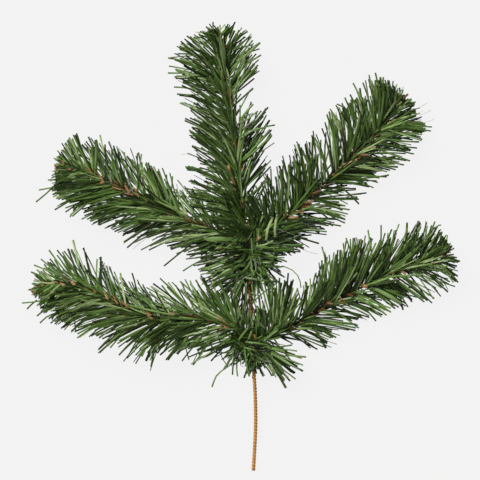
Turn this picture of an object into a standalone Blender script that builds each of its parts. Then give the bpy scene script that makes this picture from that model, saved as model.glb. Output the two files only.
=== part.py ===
"""Artificial pine branch: five brush-like sprigs bound to one twisted wire stem, lying on a surface.

The surface is z = 0. The stem's cut end points to -Y, the top sprig to +Y, and +Z is up, towards the side
that the branch shows. Run it in Blender 4.5, in the background or from the text editor.
"""

import math
from dataclasses import dataclass

import bmesh
import bpy
import numpy as np

MM = 0.001

# Driving dimensions, in millimetres and degrees. Routes are measured in whole millimetres along them.
GAP = 0.3                    # clearance between pieces that touch

STEM_DIAMETER = 2.6
WIRE_DIAMETER = 1.4
BEND_LENGTH = 28             # stretch of a wire, from its start, in which it leaves the binding and turns
BEND_STEP = 4                # between a bar's points in that stretch
STRAIGHT_STEP = 16           # and beyond it

BINDING_WALL = 0.7
BINDING_THIN_WALL = 0.5      # where the lower binding closes in on the stem
UPPER_BINDING_SPAN = (1.0, -11.0)
LOWER_BINDING_SPAN = (-76.0, -99.0)

ROOTS_RADIUS = 3.2           # the crowded needle roots round the wire
ROOTS_RINGS = 10
WIRE_BEYOND_ROOTS = 2        # bare end of the wire inside the trimmed end
NEEDLE_LENGTH = 38.0         # from the wire to the tip
NEEDLE_LENGTH_SHARES = (0.9, 1.06)
SWEEP_DEG = 46.0             # a needle's lean off the wire, towards the sprig's end
SWEEP_SCATTER_DEG = 4.0
TWIST_PITCH = 19.0           # length of wire in which the bunches go once round
TWIST_SCATTER_DEG = 9.0
LOCKS_PER_TURN = 6
LOCK_RADIUS = 2.8            # of a bunch of needles, at its tip
LOCK_TAPER = 0.34            # radius at the wire as a share of the radius at the tip
LOCK_START = 1.2             # from the wire's centre
SHORTEST_LOCK = 7
FAN_ROOT = 2                 # how far past the first needles the fans at the junction start
FAN_LOCK_RADIUS = 2.2        # at the tip of a lock in such a fan
FAN_SCATTER_DEG = 9.0        # up and down by turns
FAN_LENGTH_SHARES = (0.85, 1.05)

BRUSH_OVERHANG = 4.0         # how far the trimmed end of a sprig passes its wire
DOME_RADIUS = 36.0           # of the trimmed end
PRESSED_CENTRE = 1.1         # height over the surface of the centre of a lock that is pressed flat
PRESSED_SHARE = 0.8          # of its length that a lock keeps when it is pressed flat
SHORTEST_PRESSED = 3         # pressed length below which a lock stays straight

SLAB_SIDE = 600.0            # of the slab that cuts the pressed needles flat
SLAB_THICKNESS = 40.0


@dataclass
class Fan:
    """A fan of locks at a junction, seen from above: angles are counter-clockwise from +X."""
    first_deg: float
    last_deg: float
    count: int
    rise_deg: float
    length: float


@dataclass
class Sprig:
    """A sprig: its wire's route out of the binding, where its needles start on it, how far round the
    first bunch stands, and its fans of locks at the junction."""
    name: str
    route: list
    needles_from: int
    turn_deg: float
    fans: list


# Routes are lists of points (x, y, z) in millimetres, read from the branch's picture at its real size.
STEM_ROUTE = [
    (10.5, 0.0, 22.0), (9.2, -12.0, 22.0), (8.0, -30.0, 21.5), (9.6, -52.0, 20.6), (11.4, -76.0, 20.0),
    (11.3, -96.0, 17.0), (12.4, -118.0, 11.0), (12.7, -142.0, 5.0), (11.0, -177.0, 1.4),
]

SPRIGS = [
    Sprig("top_sprig",
          [(10.2, -9.0, 24.9), (10.4, 0.0, 24.9), (9.2, 9.0, 24.6), (4.6, 20.0, 24.0), (0.4, 44.0, 23.0),
           (-2.8, 76.0, 22.4), (-8.0, 109.0, 22.4), (-12.0, 136.0, 23.4), (-14.2, 157.0, 25.2),
           (-17.0, 172.0, 27.6)],
          needles_from=18, turn_deg=20.0,
          fans=[Fan(200.0, 340.0, 4, 40.0, 30.0)]),
    Sprig("upper_left_sprig",
          [(6.5, -9.0, 22.0), (7.3, 0.0, 22.0), (5.4, 5.0, 22.0), (-2.0, 8.6, 22.0), (-16.0, 12.4, 21.8),
           (-36.0, 19.4, 21.4), (-58.0, 29.0, 21.0), (-82.0, 40.4, 21.4), (-106.0, 52.0, 22.6),
           (-126.0, 59.6, 24.2), (-145.0, 63.0, 26.8)],
          needles_from=17, turn_deg=60.0,
          fans=[Fan(182.0, 262.0, 5, 0.0, 40.0), Fan(232.0, 312.0, 4, 30.0, 30.0)]),
    Sprig("upper_right_sprig",
          [(12.4, -9.0, 22.0), (13.3, 0.0, 22.0), (16.0, 5.4, 22.0), (24.0, 12.6, 22.0), (37.0, 23.0, 21.8),
           (56.0, 38.6, 21.4), (76.0, 58.4, 21.4), (96.0, 77.0, 22.2), (112.0, 94.6, 23.6),
           (122.0, 107.0, 25.2), (129.4, 118.0, 27.4)],
          needles_from=18, turn_deg=100.0,
          fans=[Fan(276.0, 352.0, 5, 0.0, 34.0), Fan(226.0, 298.0, 4, 30.0, 30.0)]),
    Sprig("lower_left_sprig",
          [(8.4, -88.0, 18.6), (8.4, -76.0, 20.0), (6.8, -71.6, 20.4), (0.0, -67.0, 20.6),
           (-14.0, -61.6, 20.8), (-34.0, -55.6, 20.8), (-60.0, -56.6, 20.8), (-84.0, -52.0, 21.0),
           (-106.0, -39.4, 21.6), (-130.0, -30.4, 22.6), (-150.0, -30.4, 24.6), (-166.0, -34.6, 26.8)],
          needles_from=21, turn_deg=10.0,
          fans=[Fan(200.0, 275.0, 5, 0.0, 34.0), Fan(250.0, 328.0, 4, 30.0, 28.0)]),
    Sprig("lower_right_sprig",
          [(14.4, -88.0, 18.6), (14.4, -77.6, 20.0), (17.0, -74.4, 20.4), (24.0, -71.8, 20.6),
           (40.0, -63.8, 20.8), (62.0, -50.2, 20.8), (88.0, -36.6, 20.8), (114.0, -22.6, 21.4),
           (138.0, -14.4, 22.8), (155.0, -8.8, 24.8), (164.6, -4.0, 27.0)],
          needles_from=19, turn_deg=130.0,
          fans=[Fan(270.0, 346.0, 5, 0.0, 36.0), Fan(206.0, 286.0, 4, 30.0, 28.0)]),
]


def smooth_route(points):
    """Points a millimetre apart on a smooth cubic curve through the given points."""
    knots = np.array(points)
    knots = np.vstack([2 * knots[0] - knots[1], knots, 2 * knots[-1] - knots[-2]])
    dense = []
    for p0, p1, p2, p3 in zip(knots, knots[1:], knots[2:], knots[3:]):
        t0 = 0.0
        t1 = t0 + math.sqrt(np.linalg.norm(p1 - p0))
        t2 = t1 + math.sqrt(np.linalg.norm(p2 - p1))
        t3 = t2 + math.sqrt(np.linalg.norm(p3 - p2))
        t = np.linspace(t1, t2, 24, endpoint=False)[:, None]
        a1 = (t1 - t) / (t1 - t0) * p0 + (t - t0) / (t1 - t0) * p1
        a2 = (t2 - t) / (t2 - t1) * p1 + (t - t1) / (t2 - t1) * p2
        a3 = (t3 - t) / (t3 - t2) * p2 + (t - t2) / (t3 - t2) * p3
        b1 = (t2 - t) / (t2 - t0) * a1 + (t - t0) / (t2 - t0) * a2
        b2 = (t3 - t) / (t3 - t1) * a2 + (t - t1) / (t3 - t1) * a3
        dense.append((t2 - t) / (t2 - t1) * b1 + (t - t1) / (t2 - t1) * b2)
    dense.append(knots[-2][None, :])
    dense = np.vstack(dense)
    along = np.concatenate([[0.0], np.cumsum(np.linalg.norm(np.diff(dense, axis=0), axis=1))])
    stations = np.linspace(0.0, along[-1], round(along[-1]) + 1)
    return np.column_stack([np.interp(stations, along, dense[:, k]) for k in range(3)])


def bar_points(route):
    """The points of a wire's bar: close together in its bend at the junction, and wider apart beyond."""
    fine = smooth_route(route)
    last = len(fine) - 1
    bend = np.arange(0, BEND_LENGTH, BEND_STEP)
    straight = np.linspace(BEND_LENGTH, last, round((last - BEND_LENGTH) / STRAIGHT_STEP) + 1)
    return fine[np.concatenate([bend, straight]).round().astype(int)]


def distance_to(route, points):
    """Distance from each point to the nearest point of a route."""
    return np.linalg.norm(points[:, None, :] - route[None, :, :], axis=2).min(axis=1)


def new_collection(name):
    """A collection in the scene."""
    collection = bpy.data.collections.new(name)
    bpy.context.scene.collection.children.link(collection)
    return collection


def finish(name, colour, roughness):
    """A Principled material of one colour, for coated wire, tape or film."""
    material = bpy.data.materials.new(name)
    material.use_nodes = True
    shader = material.node_tree.nodes["Principled BSDF"]
    shader.inputs["Base Color"].default_value = (*colour, 1.0)
    shader.inputs["Roughness"].default_value = roughness
    shader.inputs["Metallic"].default_value = 0.0
    return material


def bars_mesh(name, splines, resolution, collection):
    """One mesh object of bars along splines, a list of (points, radii) in millimetres.

    The bevel resolution gives 4 sides at 0, 6 at 1, and 10 at 3.
    """
    curve = bpy.data.curves.new(name, "CURVE")
    curve.dimensions = "3D"
    curve.bevel_depth = MM
    curve.bevel_resolution = resolution
    curve.use_fill_caps = True
    for points, radii in splines:
        spline = curve.splines.new("POLY")
        spline.points.add(len(points) - 1)
        for point, place, radius in zip(spline.points, points, radii):
            point.co = (*(place * MM), 1.0)
            point.radius = radius
    bar = bpy.data.objects.new(name + "_curve", curve)
    collection.objects.link(bar)
    evaluated = bar.evaluated_get(bpy.context.evaluated_depsgraph_get())
    mesh = bpy.data.meshes.new_from_object(evaluated)
    mesh.name = name
    shell = bmesh.new()
    shell.from_mesh(mesh)
    bmesh.ops.remove_doubles(shell, verts=shell.verts, dist=0.000001)
    shell.to_mesh(mesh)
    shell.free()
    solid = bpy.data.objects.new(name, mesh)
    solid.matrix_world = bar.matrix_world
    collection.objects.link(solid)
    bpy.data.objects.remove(bar)
    bpy.data.curves.remove(curve)
    return solid


def cutter(solid):
    """Marks a solid as a cutter."""
    solid.hide_render = True
    solid.display_type = "WIRE"
    return solid


def boolean(target, other, operation, label):
    """Adds an exact Boolean to the target."""
    modifier = target.modifiers.new(label, "BOOLEAN")
    modifier.operation = operation
    modifier.solver = "EXACT"
    modifier.use_self = operation == "UNION"
    modifier.object = other


def even(points, radius):
    """A bar's spline with one radius all along."""
    return points, np.full(len(points), radius)


def build_wire_piece(name, route, diameter, material, collection):
    """A wire that follows a route, shaded round."""
    wire = bars_mesh(name, [even(bar_points(route), diameter / 2)], 1, collection)
    wire.data.materials.append(material)
    wire.data.shade_smooth()
    wire.data.set_sharp_from_angle(angle=math.radians(50))
    return wire


def stem_stretch(span):
    """The stem's centre line between two values of y, from the higher to the lower."""
    stem = smooth_route(STEM_ROUTE)
    return stem[(stem[:, 1] <= span[0]) & (stem[:, 1] >= span[1])]


def build_binding(name, span, radii, wires, material, collection, cutters):
    """A wrapping round a stretch of the stem, with a hole for the stem and for each wire in it.

    radii are its outer radii at even steps along the stretch.
    """
    line = stem_stretch(span)
    picks = np.linspace(0, len(line) - 1, len(radii)).round().astype(int)
    binding = bars_mesh(name, [(line[picks], radii)], 3, collection)
    holes = [even(bar_points(STEM_ROUTE), STEM_DIAMETER / 2 + GAP)]
    for route in wires:
        points = bar_points(route)
        points[0] -= (points[1] - points[0]) / np.linalg.norm(points[1] - points[0]) * GAP
        holes.append(even(points, WIRE_DIAMETER / 2 + GAP))
    for number, hole in enumerate(holes):
        bore = cutter(bars_mesh(f"{name}_hole_{number}", [hole], 1, cutters))
        boolean(binding, bore, "DIFFERENCE", f"Hole {number}")
    binding.data.materials.append(material)
    return binding


def lock_radii(stations, length, tip_radius):
    """A lock's radius at distances from its root: it widens towards its tip."""
    return tip_radius * (LOCK_TAPER + (1.0 - LOCK_TAPER) * stations / length)


def lock_line(start, direction, length, tip_radius, own, others, bars, end_direction):
    """The centre line of a lock of needles, or None where there is no room for it.

    It runs straight until it meets the surface, and is pressed flat there. It stops at the sprig's
    trimmed end, at a bare bar, and where it would come nearer to another sprig's needle roots than to
    its own.
    """
    stations = np.arange(0.0, length + 0.5, 1.0)
    radii = lock_radii(stations, length, tip_radius)
    line = start + stations[:, None] * direction
    under = line[:, 2] < PRESSED_CENTRE
    bend = int(np.argmax(under)) if under.any() else len(line)
    level = direction * np.array([1.0, 1.0, 0.0])
    level *= PRESSED_SHARE / np.linalg.norm(level)
    line[bend:] = line[bend - 1] + np.arange(1, len(line) - bend + 1)[:, None] * level
    line[:, 2] = np.maximum(line[:, 2], PRESSED_CENTRE)
    room = distance_to(own, line) + 2 * radii + GAP < distance_to(others, line)
    for bar, bar_radius in bars:
        room &= distance_to(bar, line) > bar_radius + radii + 2 * GAP
    past_end = (line - own[-1]) @ end_direction
    aside = np.linalg.norm(line - own[-1] - past_end[:, None] * end_direction, axis=1)
    room &= past_end < BRUSH_OVERHANG - aside ** 2 / (2 * DOME_RADIUS)
    room[stations < ROOTS_RADIUS] = True
    kept = len(line) if room.all() else int(np.argmin(room))
    if kept < SHORTEST_LOCK:
        return None
    picks = [0, kept - 1]
    if bend < kept - SHORTEST_PRESSED:
        picks = [0, bend, kept - 1]
    return line[picks], radii[picks]


def towards(heading_deg, rise_deg):
    """The unit vector of a compass heading and a rise over the horizon."""
    heading = math.radians(heading_deg)
    rise = math.radians(rise_deg)
    return np.array([math.cos(heading) * math.cos(rise), math.sin(heading) * math.cos(rise), math.sin(rise)])


def brush_locks(sprig, wire, others, bars, rng):
    """The splines of a sprig's locks: a double helix round the wire, and the fans at the junction."""
    tangent = np.gradient(wire, axis=0)
    tangent /= np.linalg.norm(tangent, axis=1)[:, None]
    upward = np.array([0.0, 0.0, 1.0]) - tangent[:, 2:3] * tangent
    upward /= np.linalg.norm(upward, axis=1)[:, None]
    sideways = np.cross(tangent, upward)
    first = sprig.needles_from
    lines = []
    for number in range(int((len(wire) - 1 - first) / TWIST_PITCH * LOCKS_PER_TURN)):
        station = first + round(number * TWIST_PITCH / LOCKS_PER_TURN)
        turns = number // 2 / (LOCKS_PER_TURN / 2) + (number % 2) / 2
        turn = math.radians(sprig.turn_deg + 360.0 * turns + rng.normal(0.0, TWIST_SCATTER_DEG))
        sweep = math.radians(SWEEP_DEG + rng.normal(0.0, SWEEP_SCATTER_DEG))
        outward = math.cos(turn) * upward[station] + math.sin(turn) * sideways[station]
        direction = math.cos(sweep) * tangent[station] + math.sin(sweep) * outward
        length = NEEDLE_LENGTH * rng.uniform(*NEEDLE_LENGTH_SHARES)
        lines.append((wire[station] + outward * LOCK_START, direction, length, LOCK_RADIUS))
    for fan in sprig.fans:
        for number, heading in enumerate(np.linspace(fan.first_deg, fan.last_deg, fan.count)):
            direction = towards(heading, fan.rise_deg + (-1) ** (number + 1) * FAN_SCATTER_DEG)
            length = fan.length * rng.uniform(*FAN_LENGTH_SHARES)
            start = wire[first + FAN_ROOT] + direction * LOCK_START
            lines.append((start, direction, length, FAN_LOCK_RADIUS))
    splines = [lock_line(*line, wire[first:], others, bars, tangent[-1]) for line in lines]
    return [spline for spline in splines if spline is not None]


def build_needles(sprig, others, bars, material, collection, cutters, floor, seed):
    """A sprig's needles: the crowded roots round the wire, and the locks that grow from them."""
    rng = np.random.default_rng(seed)
    wire = smooth_route(sprig.route)
    root_end = len(wire) - 1 - WIRE_BEYOND_ROOTS
    stations = np.linspace(sprig.needles_from, root_end, ROOTS_RINGS).round().astype(int)
    roots = bars_mesh(sprig.name + "_needles", [even(wire[stations], ROOTS_RADIUS)], 1, collection)
    locks = cutter(bars_mesh(sprig.name + "_locks", brush_locks(sprig, wire, others, bars, rng), 0, cutters))
    bore = cutter(bars_mesh(sprig.name + "_bore", [even(bar_points(sprig.route), WIRE_DIAMETER / 2 + GAP)],
                        1, cutters))
    boolean(roots, locks, "UNION", "Locks")
    boolean(roots, bore, "DIFFERENCE", "Wire")
    boolean(roots, floor, "DIFFERENCE", "Surface")
    roots.data.materials.append(material)
    return roots


def surface_cutter(cutters):
    """A wide slab under the surface, which cuts the pressed needles flat."""
    bpy.ops.mesh.primitive_cube_add(size=1.0, location=(0.0, 0.0, -SLAB_THICKNESS / 2 * MM))
    slab = bpy.context.object
    slab.name = "surface_cutter"
    slab.scale = (SLAB_SIDE * MM, SLAB_SIDE * MM, SLAB_THICKNESS * MM)
    for home in list(slab.users_collection):
        home.objects.unlink(slab)
    cutters.objects.link(slab)
    return cutter(slab)


def main():
    """Builds the stem, the bindings and the five sprigs."""
    for old in list(bpy.data.objects):
        bpy.data.objects.remove(old, do_unlink=True)
    branch = new_collection("Pine branch")
    cutters = new_collection("Cutters")

    stem_wire = finish("Golden brown coated wire", (0.30, 0.13, 0.03), 0.5)
    core_wire = finish("Brown coated core wire", (0.12, 0.07, 0.035), 0.5)
    tape = finish("Brown paper tape", (0.16, 0.08, 0.03), 0.8)
    needle_film = finish("Green plastic film", (0.06, 0.12, 0.04), 0.45)

    build_wire_piece("stem", STEM_ROUTE, STEM_DIAMETER, stem_wire, branch)
    for sprig in SPRIGS:
        build_wire_piece(sprig.name + "_wire", sprig.route, WIRE_DIAMETER, core_wire, branch)

    wide = STEM_DIAMETER / 2 + WIRE_DIAMETER + 2 * GAP + 2 * BINDING_WALL
    narrow = STEM_DIAMETER / 2 + GAP + BINDING_THIN_WALL
    between = (wide + narrow) / 2
    routes = {sprig.name: sprig.route for sprig in SPRIGS}
    upper = [routes[name] for name in ("top_sprig", "upper_left_sprig", "upper_right_sprig")]
    lower = [routes[name] for name in ("lower_left_sprig", "lower_right_sprig")]
    build_binding("upper_binding", UPPER_BINDING_SPAN, [wide, wide, wide, between], upper, tape, branch,
                  cutters)
    build_binding("lower_binding", LOWER_BINDING_SPAN, [wide, wide, between, narrow, narrow], lower, tape,
                  branch, cutters)

    floor = surface_cutter(cutters)
    stem_bars = [(smooth_route(STEM_ROUTE), STEM_DIAMETER / 2)]
    stem_bars += [(stem_stretch(span), wide) for span in (UPPER_BINDING_SPAN, LOWER_BINDING_SPAN)]
    wires = {sprig.name: smooth_route(sprig.route) for sprig in SPRIGS}
    for number, sprig in enumerate(SPRIGS):
        rest = [other for other in SPRIGS if other is not sprig]
        rooted = np.vstack([wires[other.name][other.needles_from:] for other in rest])
        bare = np.vstack([wires[other.name][:other.needles_from] for other in rest])
        bars = stem_bars + [(bare, WIRE_DIAMETER / 2)]
        build_needles(sprig, rooted, bars, needle_film, branch, cutters, floor, seed=number + 1)


main()
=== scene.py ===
"""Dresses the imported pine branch: film needles, twisted wires and wound tape, in a plain studio.

The branch is an artificial one. Each of its sprigs is a brush: strips of slit film lie across two wires,
the wires are twisted, and the strips' ends leave them in a double helix. They are combed towards the
sprig's end and trimmed to one width. Sizes and places below are in millimetres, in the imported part's frame,
and become metres when a mesh is made.
"""

import logging
import math
from dataclasses import dataclass, field, fields
from enum import Enum

import bpy
import numpy as np
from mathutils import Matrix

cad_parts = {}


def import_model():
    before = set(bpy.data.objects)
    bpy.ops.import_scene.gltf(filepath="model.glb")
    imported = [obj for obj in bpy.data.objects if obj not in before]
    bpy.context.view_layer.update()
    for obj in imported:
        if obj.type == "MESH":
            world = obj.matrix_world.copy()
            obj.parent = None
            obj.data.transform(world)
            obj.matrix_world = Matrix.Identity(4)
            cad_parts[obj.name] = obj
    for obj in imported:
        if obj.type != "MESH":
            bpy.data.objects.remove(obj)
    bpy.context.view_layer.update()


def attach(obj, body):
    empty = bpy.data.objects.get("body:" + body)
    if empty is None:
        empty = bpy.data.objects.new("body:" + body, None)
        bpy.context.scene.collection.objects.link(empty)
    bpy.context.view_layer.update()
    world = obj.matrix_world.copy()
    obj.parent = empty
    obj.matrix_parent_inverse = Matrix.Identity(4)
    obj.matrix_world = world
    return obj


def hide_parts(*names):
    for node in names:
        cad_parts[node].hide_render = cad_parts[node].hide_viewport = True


MM = 0.001
PICTURE_SIDE = 480           # pixels
PICTURE_MM = 377.3           # width of what the picture shows, at the height of the wires
WIRE_HEIGHT = 20.0
CAMERA_DISTANCE = 4000.0     # over the height of the wires
CAMERA_PLACE = (0.4, 4.7)    # what the middle of the picture looks at
KNOT_STEPS = 24              # places worked out between two knots of a route
NOISE_ROUGHNESS = 0.55
UP = (0.0, 0.0, 1.0)

Place = tuple[float, float, float]
Stops = tuple[tuple[float, str], ...]    # a colour ramp's stops: place and sRGB colour

log = logging.getLogger("pine_branch")


def unit(vectors: np.ndarray) -> np.ndarray:
    """Vectors of length one, along the last axis."""
    return vectors / np.maximum(np.linalg.norm(vectors, axis=-1, keepdims=True), 1e-12)


def between(first: np.ndarray | float, last: np.ndarray | float, share: np.ndarray) -> np.ndarray:
    """What lies at a share of the way from first to last: first + (last - first) x share."""
    return first + (last - first) * share


def turned(angle: np.ndarray, up: np.ndarray, left: np.ndarray) -> np.ndarray:
    """The way that lies at an angle, in radians, from up towards left: cos a up + sin a left."""
    return np.cos(angle) * up + np.sin(angle) * left


def linear(hex_colour: str) -> tuple[float, float, float, float]:
    """Converts an sRGB colour.

    Args:
        hex_colour: six hex digits after a number sign.

    Returns:
        The linear red, green, blue and an alpha of one.
    """
    parts = [int(hex_colour[at:at + 2], 16) / 255 for at in (1, 3, 5)]
    return (*(part / 12.92 if part <= 0.04045 else ((part + 0.055) / 1.055) ** 2.4 for part in parts), 1.0)


def picture_place(across: float, down: float, height: float) -> np.ndarray:
    """The place that the camera sees at a pixel of the square picture.

    Args:
        across: pixels from the left edge.
        down: pixels from the top edge.
        height: millimetres over the surface.

    Returns:
        Its x, y and z in millimetres.
    """
    near = (CAMERA_DISTANCE + WIRE_HEIGHT - height) / CAMERA_DISTANCE * PICTURE_MM / PICTURE_SIDE
    middle = PICTURE_SIDE / 2
    return np.array([CAMERA_PLACE[0] + (across - middle) * near,
                     CAMERA_PLACE[1] - (down - middle) * near, height])


def smooth_route(knots: np.ndarray) -> np.ndarray:
    """Points a millimetre apart on a smooth cubic curve through the knots.

    Each stretch between two knots is blended from its four nearest ones, with parameters that grow by
    the square root of their distances.

    Args:
        knots: an array of (x, y, z) rows.

    Returns:
        An array of (x, y, z) rows.
    """
    knots = np.vstack([2 * knots[0] - knots[1], knots, 2 * knots[-1] - knots[-2]])
    p0, p1, p2, p3 = (knots[k:len(knots) - 3 + k, None, :] for k in range(4))
    t1 = np.sqrt(np.linalg.norm(p1 - p0, axis=2, keepdims=True))
    t2 = t1 + np.sqrt(np.linalg.norm(p2 - p1, axis=2, keepdims=True))
    t3 = t2 + np.sqrt(np.linalg.norm(p3 - p2, axis=2, keepdims=True))
    t = t1 + (t2 - t1) * np.linspace(0.0, 1.0, KNOT_STEPS, endpoint=False)[None, :, None]
    a1 = (t1 - t) / t1 * p0 + t / t1 * p1
    a2 = (t2 - t) / (t2 - t1) * p1 + (t - t1) / (t2 - t1) * p2
    a3 = (t3 - t) / (t3 - t2) * p2 + (t - t2) / (t3 - t2) * p3
    b1 = (t2 - t) / t2 * a1 + t / t2 * a2
    b2 = (t3 - t) / (t3 - t1) * a2 + (t - t1) / (t3 - t1) * a3
    curve = ((t2 - t) / (t2 - t1) * b1 + (t - t1) / (t2 - t1) * b2).reshape(-1, 3)
    curve = np.vstack([curve, knots[-2]])
    along = np.concatenate([[0.0], np.cumsum(np.linalg.norm(np.diff(curve, axis=0), axis=1))])
    stations = np.linspace(0.0, along[-1], round(along[-1]) + 1)
    return np.column_stack([np.interp(stations, along, curve[:, k]) for k in range(3)])


def skin_quads(rings: int, sides: int, closed: bool = False) -> np.ndarray:
    """The faces of a skin made of rings: two neighbours in a ring, and the same two in the next ring.

    Args:
        rings: how many rings there are.
        sides: points in a ring.
        closed: whether the last ring is joined to the first.

    Returns:
        Rows of four point numbers, by ring and side.
    """
    ring = np.arange(rings if closed else rings - 1)[:, None]
    side = np.arange(sides)[None, :]
    this, following, after = ring * sides, (ring + 1) % rings * sides, (side + 1) % sides
    return np.stack([this + side, this + after, following + after, following + side], 2).reshape(-1, 4)


def around(sides: int, over: np.ndarray, beside: np.ndarray) -> np.ndarray:
    """Unit vectors round each ring, cos b over + sin b beside, with b even over a full turn.

    Args:
        sides: points in a ring.
        over: a unit vector for each ring, square to its line.
        beside: the other one.

    Returns:
        Rows of (x, y, z) by ring and side.
    """
    angle = 2 * np.pi * np.arange(sides) / sides
    return turned(angle[None, :, None], over[:, None, :], beside[:, None, :])


def tube(centres: np.ndarray, over: np.ndarray, beside: np.ndarray, radius: float,
         sides: int) -> tuple[np.ndarray, np.ndarray, np.ndarray]:
    """A closed tube: points centre + radius (cos b over + sin b beside), with a flat face at each end.

    Args:
        centres: its centre line, one row a ring.
        over: a unit vector square to the line at each ring.
        beside: the other one.
        radius: its radius.
        sides: points in a ring.

    Returns:
        The points, the quads and the two end faces.
    """
    points = centres[:, None, :] + radius * around(sides, over, beside)
    end = np.arange(sides)
    return (points.reshape(-1, 3), skin_quads(len(centres), sides),
            np.stack([end[::-1], (len(centres) - 1) * sides + end]))


@dataclass(frozen=True)
class CentreLine:
    """A wire's centre line with a frame at each millimetre: along it, up from it, and to its left."""

    points: np.ndarray
    along: np.ndarray
    up: np.ndarray
    left: np.ndarray

    @classmethod
    def through(cls, knots: list[Place]) -> "CentreLine":
        """Lays the line through its knots.

        Args:
            knots: places on it, from its start.

        Returns:
            The line.
        """
        points = smooth_route(np.array(knots, float))
        along = unit(np.gradient(points, axis=0))
        up = unit(np.array(UP) - along[:, 2:] * along)
        return cls(points, along, up, np.cross(up, along))

    @property
    def length(self) -> float:
        """Its length in millimetres."""
        return len(self.points) - 1.0

    def at(self, stations: np.ndarray) -> tuple[np.ndarray, np.ndarray, np.ndarray, np.ndarray]:
        """Looks up the line, blended between its two nearest millimetres.

        Args:
            stations: distances from its start.

        Returns:
            The point, and the ways along, up and left, at each station.
        """
        stations = np.clip(stations, 0.0, self.length)
        low = np.minimum(stations.astype(int), len(self.points) - 2)
        share = (stations - low)[..., None]
        found = [rows[low] * (1 - share) + rows[low + 1] * share
                 for rows in (self.points, self.along, self.up, self.left)]
        return found[0], unit(found[1]), unit(found[2]), unit(found[3])


@dataclass
class Shape:
    """A mesh in the making: its points, its faces, and a value for each point or face by name."""

    points: np.ndarray
    faces: list[list[int]]
    point_values: dict[str, np.ndarray] = field(default_factory=dict)
    face_values: dict[str, np.ndarray] = field(default_factory=dict)
    bake_map: np.ndarray | None = None
    crease_deg: float = 40.0

    def make(self, name: str, material: bpy.types.Material) -> bpy.types.Object:
        """Makes the mesh object.

        Args:
            name: its name.
            material: its one material.

        Returns:
            The object, at the origin and in the scene.
        """
        mesh = bpy.data.meshes.new(name)
        mesh.from_pydata(self.points * MM, [], self.faces)
        for domain, values in (("POINT", self.point_values), ("FACE", self.face_values)):
            for value_name, numbers in values.items():
                attribute = mesh.attributes.new(value_name, "FLOAT", domain)
                attribute.data.foreach_set("value", np.asarray(numbers, np.float32))
        if self.bake_map is not None:
            layer = mesh.uv_layers.new(name="OFBake")
            layer.data.foreach_set("uv", self.bake_map.astype(np.float32).ravel())
        mesh.shade_smooth()
        mesh.set_sharp_from_angle(angle=math.radians(self.crease_deg))
        mesh.materials.append(material)
        made = bpy.data.objects.new(name, mesh)
        bpy.context.scene.collection.objects.link(made)
        return made


def place_piece(piece: bpy.types.Object, replaced: tuple[str, ...] = ()) -> None:
    """Puts a piece on the branch and reports it.

    Args:
        piece: its object.
        replaced: the solid nodes that it stands for.
    """
    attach(piece, "root")
    if replaced:
        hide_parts(*replaced)
    log.info("%s: %d faces", piece.name, len(piece.data.polygons))


def fill_inputs(tree: bpy.types.NodeTree, node: bpy.types.Node, inputs: dict[str | int, object]) -> None:
    """Sets a node's inputs.

    Args:
        tree: the material's node tree.
        node: the node.
        inputs: for an input's name or number, a value or the output that it is joined to.
    """
    for key, value in inputs.items():
        if isinstance(value, bpy.types.NodeSocket):
            tree.links.new(value, node.inputs[key])
        else:
            node.inputs[key].default_value = value


def add_node(tree: bpy.types.NodeTree, kind: str, inputs: dict | None = None, output: str | int = 0,
             stops: Stops = (), **settings: str) -> bpy.types.NodeSocket:
    """Adds a shader node.

    Args:
        tree: the material's node tree.
        kind: the node's type name.
        inputs: for an input's name or number, a value or the output that it is joined to.
        output: the name or number of the output that is wanted.
        stops: the stops of a colour ramp.
        settings: the node's own properties.

    Returns:
        The wanted output.
    """
    node = tree.nodes.new(kind)
    for name, value in settings.items():
        setattr(node, name, value)
    fill_inputs(tree, node, inputs or {})
    while stops and len(node.color_ramp.elements) < len(stops):
        node.color_ramp.elements.new(0.5)
    for number, (place, colour) in enumerate(stops):
        node.color_ramp.elements[number].position = place
        node.color_ramp.elements[number].color = linear(colour)
    return node.outputs[output]


def add_noises(tree: bpy.types.NodeTree, *marks: tuple[float, float]) -> list[bpy.types.NodeSocket]:
    """Adds noises in Object coordinates.

    Args:
        tree: the material's node tree.
        marks: for each noise the size of its marks, in millimetres, and its detail.

    Returns:
        Their values, from 0 to 1.
    """
    place = add_node(tree, "ShaderNodeTexCoord", output="Object")
    return [add_node(tree, "ShaderNodeTexNoise", {"Vector": place, "Scale": 1 / (size * MM),
                                                  "Detail": detail, "Roughness": NOISE_ROUGHNESS})
            for size, detail in marks]


def start_material(name: str) -> tuple[bpy.types.Material, bpy.types.NodeTree, bpy.types.Node]:
    """Makes a new material.

    Args:
        name: its name.

    Returns:
        The material, its tree and its Principled shader.
    """
    material = bpy.data.materials.new(name)
    material.use_nodes = True
    tree = material.node_tree
    return material, tree, tree.nodes["Principled BSDF"]


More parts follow.
